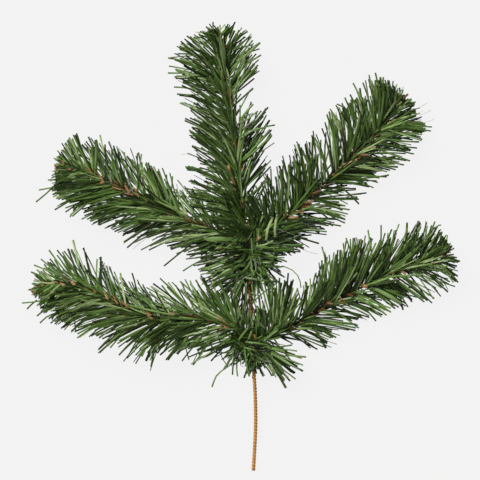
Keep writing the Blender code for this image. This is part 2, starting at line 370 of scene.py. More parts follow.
@dataclass(frozen=True)
class FilmFinish:
    """Needle film: calendered soft PVC, coloured through, slit into strips.

    Each strip has a shade of its own, from the point value "shade", so that a brush shows many greens. Its
    back is duller, painted shade darkens its clamped end, its tip is a little darker and greyer, and fine
    streaks along it blur its gloss.
    """

    name: str
    stops: Stops
    back_colour: str
    roughness: float = 0.36
    # painted shade: the root colour and the ramp from root to tip darken the strip at its clamped end and
    # make its tip a little darker and greyer
    root_tint: str = "#8a8474"
    dirt: Stops = ((0.25, "#f4f4f0"), (0.6, "#ffffff"), (1.0, "#c2c6b4"))    # from the root to the tip
    tint: Stops = ((0.3, "#fff0d4"), (0.7, "#e6f4ff"))
    patch_mm: float = 5.0
    patch_play: float = 0.12
    back_share: float = 0.1
    tint_mm: float = 2.5
    streak_mm: float = 0.4
    streak_depth_mm: float = 0.03
    streak_strength: float = 0.25
    gloss_play: tuple[float, float] = (-0.07, 0.1)
    ior: float = 1.53
    specular: float = 0.36

    def build(self) -> bpy.types.Material:
        """Makes the material.

        Returns:
            The material, which reads the point values "shade" and "along" and the face value "back".
        """
        material, tree, shader = start_material(self.name)
        shade, along, back = (add_node(tree, "ShaderNodeAttribute", output="Fac", attribute_name=value)
                              for value in ("shade", "along", "back"))
        patches, tints, streaks = add_noises(tree, (self.patch_mm, 2.0), (self.tint_mm, 2.0),
                                             (self.streak_mm, 3.0))
        uneven = add_node(tree, "ShaderNodeMapRange", {"Value": patches, "To Min": -self.patch_play,
                                                       "To Max": self.patch_play})
        varied = add_node(tree, "ShaderNodeMath", {0: shade, 1: uneven}, operation="ADD")
        front = add_node(tree, "ShaderNodeValToRGB", {"Fac": varied}, stops=self.stops)
        dulled = add_node(tree, "ShaderNodeMapRange", {"Value": back, "To Max": self.back_share})
        colour = add_node(tree, "ShaderNodeMix", {0: dulled, 6: front, 7: linear(self.back_colour)}, 2,
                          data_type="RGBA")
        # painted shade along the strip: darker at the clamped end, a little darker and greyer at the tip
        dirt = add_node(tree, "ShaderNodeValToRGB", {"Fac": along},
                        stops=((0.0, self.root_tint), *self.dirt))
        tint = add_node(tree, "ShaderNodeValToRGB", {"Fac": tints}, stops=self.tint)
        for layer in (dirt, tint):
            colour = add_node(tree, "ShaderNodeMix", {0: 1.0, 6: colour, 7: layer}, 2,
                              data_type="RGBA", blend_type="MULTIPLY")
        low, high = self.gloss_play
        rough = add_node(tree, "ShaderNodeMapRange", {"Value": streaks, "To Min": self.roughness + low,
                                                      "To Max": self.roughness + high})
        bump = add_node(tree, "ShaderNodeBump", {"Height": streaks, "Strength": self.streak_strength,
                                                 "Distance": self.streak_depth_mm * MM})
        fill_inputs(tree, shader, {"Base Color": colour, "Roughness": rough, "Normal": bump,
                                   "IOR": self.ior, "Specular IOR Level": self.specular})
        return material


@dataclass(frozen=True)
class CoatedWireFinish:
    """Soft steel wire under a baked lacquer: satin brown, with painted shade dark in the grooves between
    the strands and painted light on their ridges."""

    name: str
    stops: Stops
    roughness: float = 0.42
    patch_mm: float = 2.2
    patch_play: float = 0.25
    grain_mm: float = 0.25
    grain_depth_mm: float = 0.04
    grain_strength: float = 0.35
    gloss_play: tuple[float, float] = (-0.1, 0.12)
    ior: float = 1.5
    coat: float = 0.15

    def build(self) -> bpy.types.Material:
        """Makes the material.

        Returns:
            The material. The point value "ridge" says how far out of the groove a place is.
        """
        material, tree, shader = start_material(self.name)
        ridge = add_node(tree, "ShaderNodeAttribute", output="Fac", attribute_name="ridge")
        patches, grain = add_noises(tree, (self.patch_mm, 4.0), (self.grain_mm, 3.0))
        uneven = add_node(tree, "ShaderNodeMapRange", {"Value": patches, "To Min": -self.patch_play,
                                                       "To Max": self.patch_play})
        # painted shade and light: the colour ramp runs from dark in the grooves to light on the ridges, by
        # the point value ridge
        groove_shade = add_node(tree, "ShaderNodeMath", {0: ridge, 1: uneven}, operation="ADD")
        colour = add_node(tree, "ShaderNodeValToRGB", {"Fac": groove_shade}, stops=self.stops)
        low, high = self.gloss_play
        rough = add_node(tree, "ShaderNodeMapRange", {"Value": grain, "To Min": self.roughness + low,
                                                      "To Max": self.roughness + high})
        bump = add_node(tree, "ShaderNodeBump", {"Height": grain, "Strength": self.grain_strength,
                                                 "Distance": self.grain_depth_mm * MM})
        fill_inputs(tree, shader, {"Base Color": colour, "Roughness": rough, "Normal": bump,
                                   "IOR": self.ior, "Coat Weight": self.coat})
        return material


@dataclass(frozen=True)
class TapeFinish:
    """Florist's crepe paper tape, waxed and wound on: matt, with fine creases across the stem."""

    name: str = "waxed_paper_tape"
    stops: Stops = ((0.25, "#2f2413"), (0.55, "#553a1d"), (0.8, "#7a5730"))
    roughness: float = 0.78
    patch_mm: float = 1.5
    crease_mm: float = 0.3
    crease_depth_mm: float = 0.1
    crease_strength: float = 0.6

    def build(self) -> bpy.types.Material:
        """Makes the material.

        Returns:
            The material.
        """
        material, tree, shader = start_material(self.name)
        patches, creases = add_noises(tree, (self.patch_mm, 5.0), (self.crease_mm, 4.0))
        colour = add_node(tree, "ShaderNodeValToRGB", {"Fac": patches}, stops=self.stops)
        bump = add_node(tree, "ShaderNodeBump", {"Height": creases, "Strength": self.crease_strength,
                                                 "Distance": self.crease_depth_mm * MM})
        fill_inputs(tree, shader, {"Base Color": colour, "Normal": bump, "Roughness": self.roughness})
        return material


@dataclass(frozen=True)
class TableFinish:
    """The studio's table: a white sheet lit from below, so that shadows stay faint."""

    colour: str = "#f2f2f2"
    lit_share: float = 0.97

    def build(self) -> bpy.types.Material:
        """Makes the material.

        Returns:
            The material.
        """
        material, tree, shader = start_material("studio_table")
        unlit = [part * (1 - self.lit_share) for part in linear(self.colour)[:3]] + [1.0]
        fill_inputs(tree, shader, {"Base Color": unlit, "Roughness": 1.0, "Specular IOR Level": 0.0,
                                   "Emission Color": linear(self.colour),
                                   "Emission Strength": self.lit_share})
        return material


GREEN_FILM = FilmFinish("slit_green_film", ((0.0, "#1f2d12"), (0.35, "#47642a"), (0.7, "#70954c"),
                                            (1.0, "#bcd29a")), "#768e56")
# the brown film's last colour is its painted root shade, lighter than the green film's
BROWN_FILM = FilmFinish("slit_brown_film", ((0.0, "#40270e"), (0.5, "#865c2b"), (1.0, "#c99f6e")),
                        "#a07a52", 0.42, "#e0d8cc")
LOOSE_FILM = FilmFinish("drawn_grey_film", ((0.0, "#6c7168"), (1.0, "#a9aea4")), "#9a9f96", 0.3)
STEM_COAT = CoatedWireFinish("golden_brown_lacquer", ((0.35, "#4e2e0e"), (0.7, "#976526"),
                                                      (0.95, "#c68f44")))
CORE_COAT = CoatedWireFinish("dark_brown_lacquer", ((0.35, "#2b1b0d"), (0.7, "#4d3318"), (0.95, "#6b4a28")))


class Shade(Enum):
    """The films that a brush is wound from, by the middle and the spread of their shade."""

    DARK = (0.06, 0.07)
    MIDDLE = (0.52, 0.11)
    LIGHT = (0.74, 0.1)
    # a pale film, which also stands in for the needles' glossy highlights: partly a painted highlight
    PALE = (0.97, 0.03)


Mixture = tuple[tuple[Shade, ...], tuple[float, ...]]    # films, and each one's share

GREEN_MIXTURE: Mixture = ((Shade.DARK, Shade.MIDDLE, Shade.LIGHT, Shade.PALE), (0.3, 0.33, 0.29, 0.08))
BROWN_MIXTURE: Mixture = ((Shade.DARK, Shade.MIDDLE, Shade.LIGHT), (0.35, 0.4, 0.25))


@dataclass(frozen=True)
class Rows:
    """Arrays that all hold one row for each strip or tuft."""

    @classmethod
    def joined(cls, parts: list["Rows"]) -> "Rows":
        """The rows of all parts, one part after another."""
        return cls(*(np.concatenate([getattr(part, column.name) for part in parts])
                     for column in fields(cls)))


@dataclass(frozen=True)
class StripSet(Rows):
    """Strips of film: rings of centres, and the frame, width and shade of each strip."""

    centres: np.ndarray          # strips, rings, (x, y, z)
    flat_way: np.ndarray         # strips, rings, (x, y, z): across the strip's width
    widths: np.ndarray           # strips
    shades: np.ndarray           # strips

    SIDES = 4
    ROOT_TAPER = 0.75            # a strip's size where it is clamped
    CREASE_DEG = 20.0
    CELL_EDGE = 0.05             # bare edge of a strip's cell on the bake map
    CAP = (0.2, 0.8, 0.06)       # an end face's place in the cell: from, to, and height
    BODY_FROM = 0.08             # where the sides start in the cell, over the first end face
    LAST_CAP = 0.92              # where the other end face starts

    def bake_cell(self, rings: int) -> np.ndarray:
        """Unrolls one strip in a cell of the bake map: its sides ring by ring, and its two end faces.

        Args:
            rings: the strip's rings.

        Returns:
            Places from 0 to 1, by face and corner.
        """
        ring = np.arange(rings - 1)[:, None]
        side = np.arange(self.SIDES)[None, :]
        place_u = np.stack([side, side + 1, side + 1, side], 2) * np.ones((rings - 1, 1, 1)) / self.SIDES
        place_v = np.stack([ring, ring, ring + 1, ring + 1], 2) / rings * np.ones((1, self.SIDES, 1))
        first, last, height = self.CAP
        cap = np.array([[first, 0.0], [last, 0.0], [last, height], [first, height]])
        return np.concatenate([np.stack([place_u, place_v + self.BODY_FROM], 3).reshape(-1, 4, 2),
                               cap[None], cap[None] + [0.0, self.LAST_CAP]])

    def shape(self, thickness: float) -> Shape:
        """Works out the closed surface of all strips.

        Each ring of a strip is a rhombus: two edges at half the width to either side of the centre, and a
        low crease above and below it. Rings are joined by quads and closed by one at each end. On the bake
        map each strip has a cell of its own.

        Args:
            thickness: the strips' thickness, from crease to crease.

        Returns:
            The surface.
        """
        count, rings = self.centres.shape[:2]
        ahead = unit(np.gradient(self.centres, axis=1))
        across = unit(self.flat_way - (self.flat_way * ahead).sum(2, keepdims=True) * ahead)
        face_way = np.cross(ahead, across)
        taper = np.ones(rings)
        taper[0] = self.ROOT_TAPER
        half = self.widths[:, None, None] / 2 * taper[None, :, None]
        thick = thickness / 2 * taper[None, :, None]
        corners = np.stack([self.centres + across * half, self.centres + face_way * thick,
                            self.centres - across * half, self.centres - face_way * thick], axis=2)
        last = (rings - 1) * self.SIDES
        ends = np.array([[3, 2, 1, 0], [last, last + 1, last + 2, last + 3]])
        one = np.concatenate([skin_quads(rings, self.SIDES), ends])
        faces = (np.arange(count)[:, None, None] * rings * self.SIDES + one).reshape(-1, 4)

        columns = math.ceil(math.sqrt(count))
        corner = np.stack([np.arange(count) % columns, np.arange(count) // columns], 1)[:, None, None, :]
        cell = self.bake_cell(rings)[None]
        bake_map = (corner + self.CELL_EDGE + (1 - 2 * self.CELL_EDGE) * cell) / columns

        share = np.linspace(0.0, 1.0, rings)[None, :, None] * np.ones((count, 1, self.SIDES))
        shade = self.shades[:, None, None] * np.ones((1, rings, self.SIDES))
        back = np.concatenate([np.tile([0.0, 0.0, 1.0, 1.0], rings - 1), [0.0, 0.0]])
        return Shape(corners.reshape(-1, 3), faces.tolist(),
                     {"along": share.ravel(), "shade": shade.ravel()},
                     {"back": np.tile(back, count)}, bake_map.reshape(-1, 2), self.CREASE_DEG)


@dataclass(frozen=True)
class Combing:
    """How the needles on one side of a sprig lie: their lean off the wire at root and tip."""

    root_deg: float
    tip_deg: float


@dataclass(frozen=True)
class Fan:
    """Tufts that spread from a binding: headings counter-clockwise from +X, seen from above."""

    first_deg: float
    last_deg: float
    tufts: int
    rise_deg: float
    length: float
    roots: tuple[Place, Place]
    kink_deg: float = 5.0
    # painted shade: the fan's films are made darker, deep in the junction under the other needles
    darker: float = 0.0          # how far its films' shades are moved to the dark
    nest: float = 0.0            # how far roots are scattered about their line

    RISE_SCATTER_DEG = 18.0
    DROOP = 0.2                  # how much the rise falls to the tip, in radians
    ROOT_REACH = 2.5             # how far out of their line roots may stand
    KINKS_AT = (0.2, 0.8)        # shares of a needle's length
    LENGTHS = (0.72, 1.08)       # shares of the fan's length
    STRIP_SHARES = (0.75, 0.25)  # tufts of one and of two strips


@dataclass(frozen=True)
class Spot:
    """A stretch of a sprig's left (+1) or right (-1) side with its own share of tufts, reach and lean."""

    first: float
    last: float
    side: int
    kept: float = 0.25
    reach: float = 1.0
    lean_deg: float = 0.0

    SIDE_FROM = 0.1              # leftness from which a needle belongs to a side


@dataclass(frozen=True)
class Brush:
    """The sizes that all five brushes share."""

    dome_radius: float = 27.5
    dome_edge: float = 1.4               # dome radii aside up to which the drop grows
    end_scatter: float = 1.5
    longest: float = 48.0
    lengths: tuple[float, float] = (0.88, 1.0)         # shares of the longest
    twist_pitch: float = 19.0
    tufts_per_mm: float = 3.0
    most_strips: int = 3                 # in a tuft
    early_start: float = 4.0             # how far the first tufts stand before the sprig's needles_from
    scatter_deg: float = 20.0
    needle_width: float = 1.25
    needle_thickness: float = 0.42
    width_scatter: float = 0.08
    root_radius: float = 0.6
    root_scatter: float = 0.3
    bare_end: float = 1.0
    parting_reach_deg: float = 75.0
    swept: float = 0.08                  # share of tufts swept forward over the wire
    swept_turn_deg: tuple[float, float] = (5.0, 35.0)  # middle and scatter
    swept_lean_deg: float = -26.0
    swept_lengths: tuple[float, float] = (0.3, 0.8)    # shares of the longest
    yield_left_deg: float = 76.0
    yield_right_deg: float = 38.0
    loose: float = 0.44                  # share of tufts at any turn
    lean_slack_deg: float = 8.5
    first_lean_deg: float = 45.0
    first_lean_shares: tuple[float, float] = (0.2, 1.4)
    first_stretch: float = 8.0
    curl: float = 0.1
    stray: float = 0.075
    layer: float = 0.12                  # how much higher each next strip of a tuft lies
    face_up: float = 0.92                # how far strips are pressed flat side up, as a share
    tuft_reach_scatter: float = 0.1
    strip_reach_scatter: float = 0.02
    tuft_roll_deg: float = 20.0
    strip_roll_deg: float = 15.0
    tip_twist_deg: float = 20.0
    root_spread: float = 0.5             # strip widths between neighbours at the root
    tip_spread: tuple[float, float] = (0.1, 1.0)       # what is added to that at the tip
    shortest_samples: int = 3
    rings: tuple[float, ...] = (0.0, 0.14, 0.34, 0.58, 0.8, 1.0)
    samples: int = 28
    pressed_over: tuple[float, float] = (0.6, 7.0)
    press_softness: float = 1.6
    lowest: float = 0.62                 # strip widths
    highest: float = 57.2
    crook_stretch: float = 20.0          # over which a sprig's crook_shade falls to 37%


@dataclass(frozen=True)
class BrownStrips:
    """The sizes of the short brown strips. A pair of middle and scatter is named so."""

    width: float = 0.95
    lengths: tuple[float, float] = (5.0, 8.0)
    none_to_three: tuple[float, ...] = (0.4, 0.3, 0.2, 0.1)    # how often a pass has so many tufts
    most_in_tuft: int = 2
    station_scatter: float = 2.4
    last_pass: float = 5.0               # how far before the wire's end the last pass may be
    bare_end: float = 4.0
    turn_middle_scatter_deg: tuple[float, float] = (-5.0, 30.0)        # from the parting
    lean_middle_scatter_deg: tuple[float, float] = (30.0, 9.0)
    root_radius: float = 1.6
    lift: float = 3.2                    # how far over the wire the placed ones lie
    dip: float = 0.5                     # how far their start lies below that
    rise: float = 1.0                    # and their end above it


def lay_on_table(heights: np.ndarray, floors: np.ndarray, softness: float) -> np.ndarray:
    """Heights bent softly to stay over their floors: floor + softness x log(1 + e^(rise / softness))."""
    rise = (heights - floors) / softness
    return floors + softness * (np.log1p(np.exp(-np.abs(rise))) + np.maximum(rise, 0.0))


def turn_to_level(ahead: np.ndarray, across: np.ndarray, over: np.ndarray) -> np.ndarray:
    """How far each strip rolls to turn its flat side up: a branch that lay pressed in its box.

    Args:
        ahead: unit vectors along the strips, by strip and ring.
        across: the way of their width before they roll.
        over: the unit vectors square to both.

    Returns:
        One angle a strip, at its middle ring, from minus to plus a quarter turn.
    """
    middle = ahead.shape[1] // 2
    level = np.cross(ahead[:, middle], UP)
    angle = np.arctan2((level * over[:, middle]).sum(1), (level * across[:, middle]).sum(1))
    return (angle + np.pi / 2) % np.pi - np.pi / 2


def falling_shares(count: int) -> list[float]:
    """Shares of one for 1 to count, each as likely as its number is small."""
    weights = [1 / number for number in range(1, count + 1)]
    return [weight / sum(weights) for weight in weights]


@dataclass(frozen=True)
class Stray:
    """A strip out of place, drawn through places in the picture: (across, down, height) each."""

    places: tuple[Place, ...]
    width: float
    shade: float

    @classmethod
    def drawn(cls, rows: tuple[tuple[float, ...], ...]) -> list["Stray"]:
        """The strays of rows that give width, shade, and then three numbers a place."""
        return [cls(tuple(zip(row[2::3], row[3::3], row[4::3])), row[0], row[1]) for row in rows]

    def strip(self, rings: tuple[float, ...]) -> StripSet:
        """Lays the strip along a smooth route through its places, flat side up.

        Args:
            rings: where its rings are, as shares of its length.

        Returns:
            The one strip.
        """
        route = smooth_route(np.array([picture_place(*place) for place in self.places]))
        picks = (np.array(rings) * (len(route) - 1)).round().astype(int)
        centres = route[picks][None]
        flat = np.cross(unit(np.gradient(centres, axis=1)), UP)
        return StripSet(centres, flat, np.array([self.width]), np.array([self.shade]))


@dataclass(frozen=True)
class Tufts(Rows):
    """Tufts of strips that leave a wire side by side."""

    roots: np.ndarray            # tufts, (x, y, z)
    axes: np.ndarray             # tufts, (x, y, z): the wire's way there, which the film's width follows
    ways: np.ndarray             # tufts, samples, (x, y, z): unit directions from root to tip
    lengths: np.ndarray          # its strips' full length
    reaches: np.ndarray          # radius to which the brush is trimmed there
    strips: np.ndarray           # how many strips it has
    # painted shade: how much darker the tuft's films are painted
    darker: np.ndarray           # how far its films' shades are moved to the dark


@dataclass(frozen=True)
class Rope:
    """Two strands twisted round each other along a centre line."""

    line: CentreLine
    strand_radius: float
    strand_offset: float
    pitch: float
    stations_per_turn: int
    sides: int
    strands: int = 2

    def shape(self) -> Shape:
        """Works out the strands' closed surfaces.

        A strand's centre goes round the line: c(s) = line(s) + offset x (cos a up + sin a left) with
        a = 360 s / pitch. Its tube has a ring of points round c at each station, square to the strand.

        Returns:
            The surfaces, with the point value "ridge": distance from the line over the rope's radius.
        """
        stations = np.linspace(0.0, self.line.length,
                               round(self.line.length / self.pitch * self.stations_per_turn) + 1)
        point, _, up, left = self.line.at(stations)
        points, faces = [], []
        for strand in range(self.strands):
            angle = 2 * np.pi * (stations / self.pitch + strand / self.strands)
            outward = turned(angle[:, None], up, left)
            centres = point + self.strand_offset * outward
            ahead = unit(np.gradient(centres, axis=0))
            over = unit(outward - (outward * ahead).sum(1, keepdims=True) * ahead)
            tube_points, quads, ends = tube(centres, over, np.cross(ahead, over), self.strand_radius,
                                            self.sides)
            first = len(stations) * self.sides * strand
            faces += (first + quads).tolist() + (first + ends).tolist()
            points.append(tube_points)
        points = np.vstack(points)
        middles = np.tile(np.repeat(point, self.sides, axis=0), (self.strands, 1))
        out = np.linalg.norm(points - middles, axis=1)
        return Shape(points, faces, {"ridge": out / (self.strand_radius + self.strand_offset)})


@dataclass
class Sprig:
    """One sprig: its twisted core wire, its green needles and the short brown strips among them."""

    name: str
    knots: list[Place]
    needles_from: float
    turn_deg: float
    left: Combing
    right: Combing
    fans: tuple[Fan, ...]
    spots: tuple[Spot, ...]
    radii: tuple[float, float]         # to which it is trimmed on the right and the left
    end_cut: tuple[float, float, float]     # its overhang, and its slope back on the right and the left
    parting: tuple[float, float]       # the parting's turn in degrees, and how strongly it is combed
    seed: int
    # painted shade: how much darker its film is painted deep in the crook of the branch
    crook_shade: float = 0.0           # how much darker its film looks, deep in the crook of the branch
    brush: Brush = Brush()
    brown: BrownStrips = BrownStrips()

    def __post_init__(self) -> None:
        """Works out the wire's centre line and seeds the scatter."""
        self.line = CentreLine.through(self.knots)
        self.rng = np.random.default_rng(self.seed)

    def pick_shades(self, count: int, films: tuple[Shade, ...], shares: tuple[float, ...]) -> np.ndarray:
        """Draws shades from a mixture of films.

        Args:
            count: how many.
            films: the films.
            shares: each film's share of the mixture.

        Returns:
            The shades.
        """
        film = self.rng.choice(len(films), count, p=shares)
        middles = np.array([choice.value for choice in films])[film]
        return self.rng.normal(middles[:, 0], middles[:, 1])

    def combed(self, stations: np.ndarray, turns: np.ndarray, more_deg: np.ndarray) -> np.ndarray:
        """Directions of needles from root to tip.

        A needle's lean off the wire goes from the root's value to the tip's, both blended between the two
        sides by how far left it stands, and is greater for the sprig's first needles. Curl bends it evenly
        to one side.

        Args:
            stations: where each needle stands, from the wire's start.
            turns: its turn in degrees, from straight up towards the left, after combing.
            more_deg: what is added to its lean.

        Returns:
            Unit vectors by needle and sample.
        """
        brush = self.brush
        share = np.linspace(0.0, 1.0, brush.samples)[None, :]
        turn = np.radians(turns[:, None])
        leftness = 0.5 + 0.5 * np.sin(turn)
        lean = between(self.left.root_deg, self.left.tip_deg, share) * leftness
        lean += between(self.right.root_deg, self.right.tip_deg, share) * (1 - leftness)
        first = np.exp(-np.maximum(stations - self.needles_from, 0.0) / brush.first_stretch)
        slack = self.rng.normal(0.0, brush.lean_slack_deg, len(turns))
        slack += brush.first_lean_deg * first * self.rng.uniform(*brush.first_lean_shares, len(turns))
        lean = np.radians(lean + (slack + more_deg)[:, None])
        _, along, up, left = (rows[:, None, :] for rows in self.line.at(stations))
        curl = self.rng.normal(0.0, brush.curl, (len(turns), 1, 3)) * share[..., None]
        return unit(turned(lean[..., None], along, turned(turn[..., None], up, left)) + curl)

    def helix_tufts(self) -> Tufts:
        """Tufts in the double helix: turn = start - 360 x station / pitch, and half a turn on for every
        other one, with scatter. A share of them is loose, at any turn.

        The comb pushes each tuft to one side of the parting, by a bell curve of its distance from it. A few
        stand over the wire instead, are swept far forward and are shorter. Painted shade makes the film
        darker by crook_shade x e^(-distance from the first needles / crook_stretch), deep in the crook of the
        branch.

        Returns:
            The tufts, from the junction to the sprig's end.
        """
        rng, brush = self.rng, self.brush
        first, last = self.needles_from - brush.early_start, self.line.length - brush.bare_end
        stations = np.sort(rng.uniform(first, last, round((last - first) * brush.tufts_per_mm)))
        count = len(stations)
        turns = -(self.turn_deg + 360.0 * (stations - self.needles_from) / brush.twist_pitch)
        turns += 180.0 * rng.integers(0, 2, count) + rng.normal(0.0, brush.scatter_deg, count)
        turns += np.where(rng.random(count) < brush.loose, rng.uniform(-180.0, 180.0, count), 0.0)
        away = (turns - self.parting[0] + 180.0) % 360.0 - 180.0
        pushes = np.where(away > 0, brush.yield_left_deg, -brush.yield_right_deg)
        pushes = self.parting[1] * pushes * np.exp(-(away / brush.parting_reach_deg) ** 2)
        swept = rng.random(count) < brush.swept
        turns = np.where(swept, rng.normal(*brush.swept_turn_deg, count), turns)
        pushes = np.where(swept, 0.0, pushes)
        more_deg = np.where(swept, brush.swept_lean_deg, 0.0)
        lengths = brush.longest * np.where(swept, rng.uniform(*brush.swept_lengths, count),
                                           rng.uniform(*brush.lengths, count))
        leftness = np.sin(np.radians(turns + pushes))
        stays = np.ones(count, bool)
        reaches = between(*self.radii, 0.5 + 0.5 * leftness)
        for spot in self.spots:
            inside = (stations > spot.first) & (stations < spot.last)
            inside &= leftness * spot.side > spot.SIDE_FROM
            stays &= ~inside | (rng.random(count) < spot.kept)
            reaches = np.where(inside, reaches * spot.reach, reaches)
            more_deg = more_deg + spot.lean_deg * inside
        stations, turns, pushes, lengths, reaches, more_deg = (
            row[stays] for row in (stations, turns, pushes, lengths, reaches, more_deg))
        # painted shade deep in the crook, fading away from the junction
        darker = self.crook_shade * np.exp(-np.maximum(stations - self.needles_from, 0.0)
                                           / brush.crook_stretch)

        point, along, up, left = self.line.at(stations)
        roots = point + brush.root_radius * turned(np.radians(turns)[:, None], up, left)
        count = len(turns)
        return Tufts(roots, along, self.combed(stations, turns + pushes, more_deg), lengths,
                     reaches * (1 + rng.normal(0.0, brush.tuft_reach_scatter, count)),
                     rng.choice(1 + np.arange(brush.most_strips), count,
                                p=falling_shares(brush.most_strips)), darker)

    def bark_tufts(self) -> Tufts:
        """The brown strips' tufts: a few on the right of the parting at every pass of the helix, cut short.

        The helix passes the parting at needles_from - pitch x (parting + turn) / 360, and every half pitch
        from there. Many passes have none.

        Returns:
            The tufts.
        """
        rng, brush, brown = self.rng, self.brush, self.brown
        half = brush.twist_pitch / 2
        first = -brush.twist_pitch * (self.parting[0] + self.turn_deg) / 360.0 % half
        passes = np.arange(self.needles_from + first, self.line.length - brown.last_pass, half)
        stations = np.repeat(passes, rng.choice(len(brown.none_to_three), len(passes),
                                                p=brown.none_to_three))
        count = len(stations)
        stations = np.minimum(stations + rng.normal(0.0, brown.station_scatter, count),
                              self.line.length - brown.bare_end)
        middle, scatter = brown.turn_middle_scatter_deg
        turn = np.radians(rng.normal(self.parting[0] + middle, scatter, count))[:, None]
        point, along, up, left = self.line.at(stations)
        outward = turned(turn, up, left)
        lean = np.radians(rng.normal(*brown.lean_middle_scatter_deg, count))[:, None]
        ways = np.repeat(turned(lean, along, outward)[:, None, :], brush.samples, axis=1)
        return Tufts(point + brown.root_radius * outward, along, ways, rng.uniform(*brown.lengths, count),
                     np.full(count, brush.longest), rng.integers(1, brown.most_in_tuft + 1, count),
                     np.zeros(count))

    def fan_tufts(self, fan: Fan) -> Tufts:
        """Tufts that spread from a binding: their heading is even over the fan, they stand along the line
        between its two roots, each has a kink, and they droop by a share of their length squared.

        Args:
            fan: the fan.

        Returns:
            Its tufts.
        """
        rng, count = self.rng, fan.tufts
        heading = np.radians(rng.uniform(fan.first_deg, fan.last_deg, count))[:, None]
        share = np.linspace(0.0, 1.0, self.brush.samples)[None, :]
        rise = np.radians(rng.normal(fan.rise_deg, fan.RISE_SCATTER_DEG, count))[:, None]
        rise = rise - fan.DROOP * share ** 2
        first, last = np.array(fan.roots)
        place = rng.random((count, 1))
        level = np.hstack([np.cos(heading), np.sin(heading), 0 * heading])
        roots = between(first, last, place) + level * rng.uniform(0.0, fan.ROOT_REACH, (count, 1))
        roots[:, :2] += rng.normal(0.0, fan.nest, (count, 2))
        kink = np.radians(rng.normal(0.0, fan.kink_deg, (count, 1)))
        heading = heading + kink * (share > rng.uniform(*fan.KINKS_AT, (count, 1)))
        ways = np.stack([np.cos(heading) * np.cos(rise), np.sin(heading) * np.cos(rise), np.sin(rise)], 2)
        lengths = fan.length * rng.uniform(*fan.LENGTHS, count)
        return Tufts(roots, np.cross(UP, level), ways, lengths, 2 * lengths,
                     rng.choice([1, 2], count, p=fan.STRIP_SHARES), np.full(count, fan.darker))

    def trimmed(self, tufts: Tufts, tuft: np.ndarray, roots: np.ndarray, paths: np.ndarray) -> np.ndarray:
        """Where the strips are cut.

        A strip ends at its length, where it leaves the brush's cylinder, or where it passes the domed end
        of the sprig: overhang - drop x (aside / radius)^2 past the wire's end, where the drop is blended
        from its right and left values by how far left the place is.

        Args:
            tufts: the tufts.
            tuft: the number of each strip's tuft.
            roots: the strips' first points.
            paths: all their points.

        Returns:
            The number of each strip's last point.
        """
        rng, brush = self.rng, self.brush
        along = tufts.axes[tuft][:, None, :]
        off = paths - roots
        off = off - (off * along).sum(2, keepdims=True) * along
        reach = tufts.reaches[tuft] * (1 + rng.normal(0.0, brush.strip_reach_scatter, len(tuft)))
        end, end_way, end_left = self.line.points[-1], self.line.along[-1], self.line.left[-1]
        past = (paths - end) @ end_way
        sideways = (paths - end) @ end_left
        aside = np.linalg.norm(paths - end - past[..., None] * end_way, axis=2)
        drop = between(*self.end_cut[1:], 0.5 + 0.5 * sideways / np.maximum(aside, 1.0))
        overhang = self.end_cut[0] + rng.normal(0.0, brush.end_scatter, (len(tuft), 1))
        kept = np.linalg.norm(off, axis=2) < reach[:, None]
        kept &= past < overhang - drop * np.minimum(aside / brush.dome_radius, brush.dome_edge) ** 2
        return np.where(kept.all(1), brush.samples - 1, np.argmin(kept, axis=1))

    def grown(self, tufts: Tufts, width: float, shades: Mixture) -> StripSet:
        """Grows the strips of all tufts, trims them, and presses them flat below and above, as they lay in
        their box.

        A strip follows its tuft's way up to its cut. Its neighbours in the tuft stand beside it across
        their width, and spread a little to the tips.

        Args:
            tufts: the tufts.
            width: a strip's width.
            shades: the films that the strips are from, and their shares.

        Returns:
            The strips.
        """
        rng, brush = self.rng, self.brush
        tuft = np.repeat(np.arange(len(tufts.strips)), tufts.strips)
        number = np.concatenate([np.arange(n) - (n - 1) / 2 for n in tufts.strips])
        along = tufts.axes[tuft]
        roots = (tufts.roots[tuft] + along * rng.normal(0.0, brush.root_scatter, (len(tuft), 1)))[:, None, :]
        ways = unit(tufts.ways[tuft] + rng.normal(0.0, brush.stray, (len(tuft), 1, 3)))
        step = (tufts.lengths[tuft] / (brush.samples - 1))[:, None, None]
        paths = roots + (np.cumsum(ways, axis=1) - ways) * step
        last = self.trimmed(tufts, tuft, roots, paths)

        places = np.maximum(last, 1)[:, None] * np.array(brush.rings)[None, :]
        low = np.minimum(places.astype(int), brush.samples - 2)
        share = (places - low)[..., None]
        rows = np.arange(len(tuft))[:, None]
        centres = paths[rows, low] * (1 - share) + paths[rows, low + 1] * share
        floors = rng.uniform(*brush.pressed_over, (len(tuft), 1))
        centres[..., 2] = lay_on_table(centres[..., 2], floors, brush.press_softness)
        centres[..., 2] = brush.highest - lay_on_table(brush.highest - centres[..., 2], floors,
                                                       brush.press_softness)

        ahead = unit(np.gradient(centres, axis=1))
        round_way = unit(np.cross(ahead, along[:, None, :]))
        tips = np.array(brush.rings)[None, :, None]
        side_way = np.cross(round_way, ahead)
        roll = rng.normal(0.0, brush.tuft_roll_deg, len(tufts.strips))[tuft]
        roll = roll + rng.normal(0.0, brush.strip_roll_deg, len(tuft))
        twist = rng.normal(0.0, brush.tip_twist_deg, len(tufts.strips))[tuft]
        roll = np.radians(roll[:, None, None] + twist[:, None, None] * tips)
        roll = roll + brush.face_up * turn_to_level(ahead, side_way, round_way)[:, None, None]
        flat = turned(roll, side_way, round_way)
        spread = rng.uniform(*brush.tip_spread, len(tufts.strips))[tuft][:, None, None]
        centres = centres + flat * (brush.root_spread + spread * tips) * (number * width)[:, None, None]
        centres = centres + np.cross(ahead, flat) * (number * brush.layer)[:, None, None]
        centres[..., 2] = np.clip(centres[..., 2], brush.lowest * width, brush.highest)
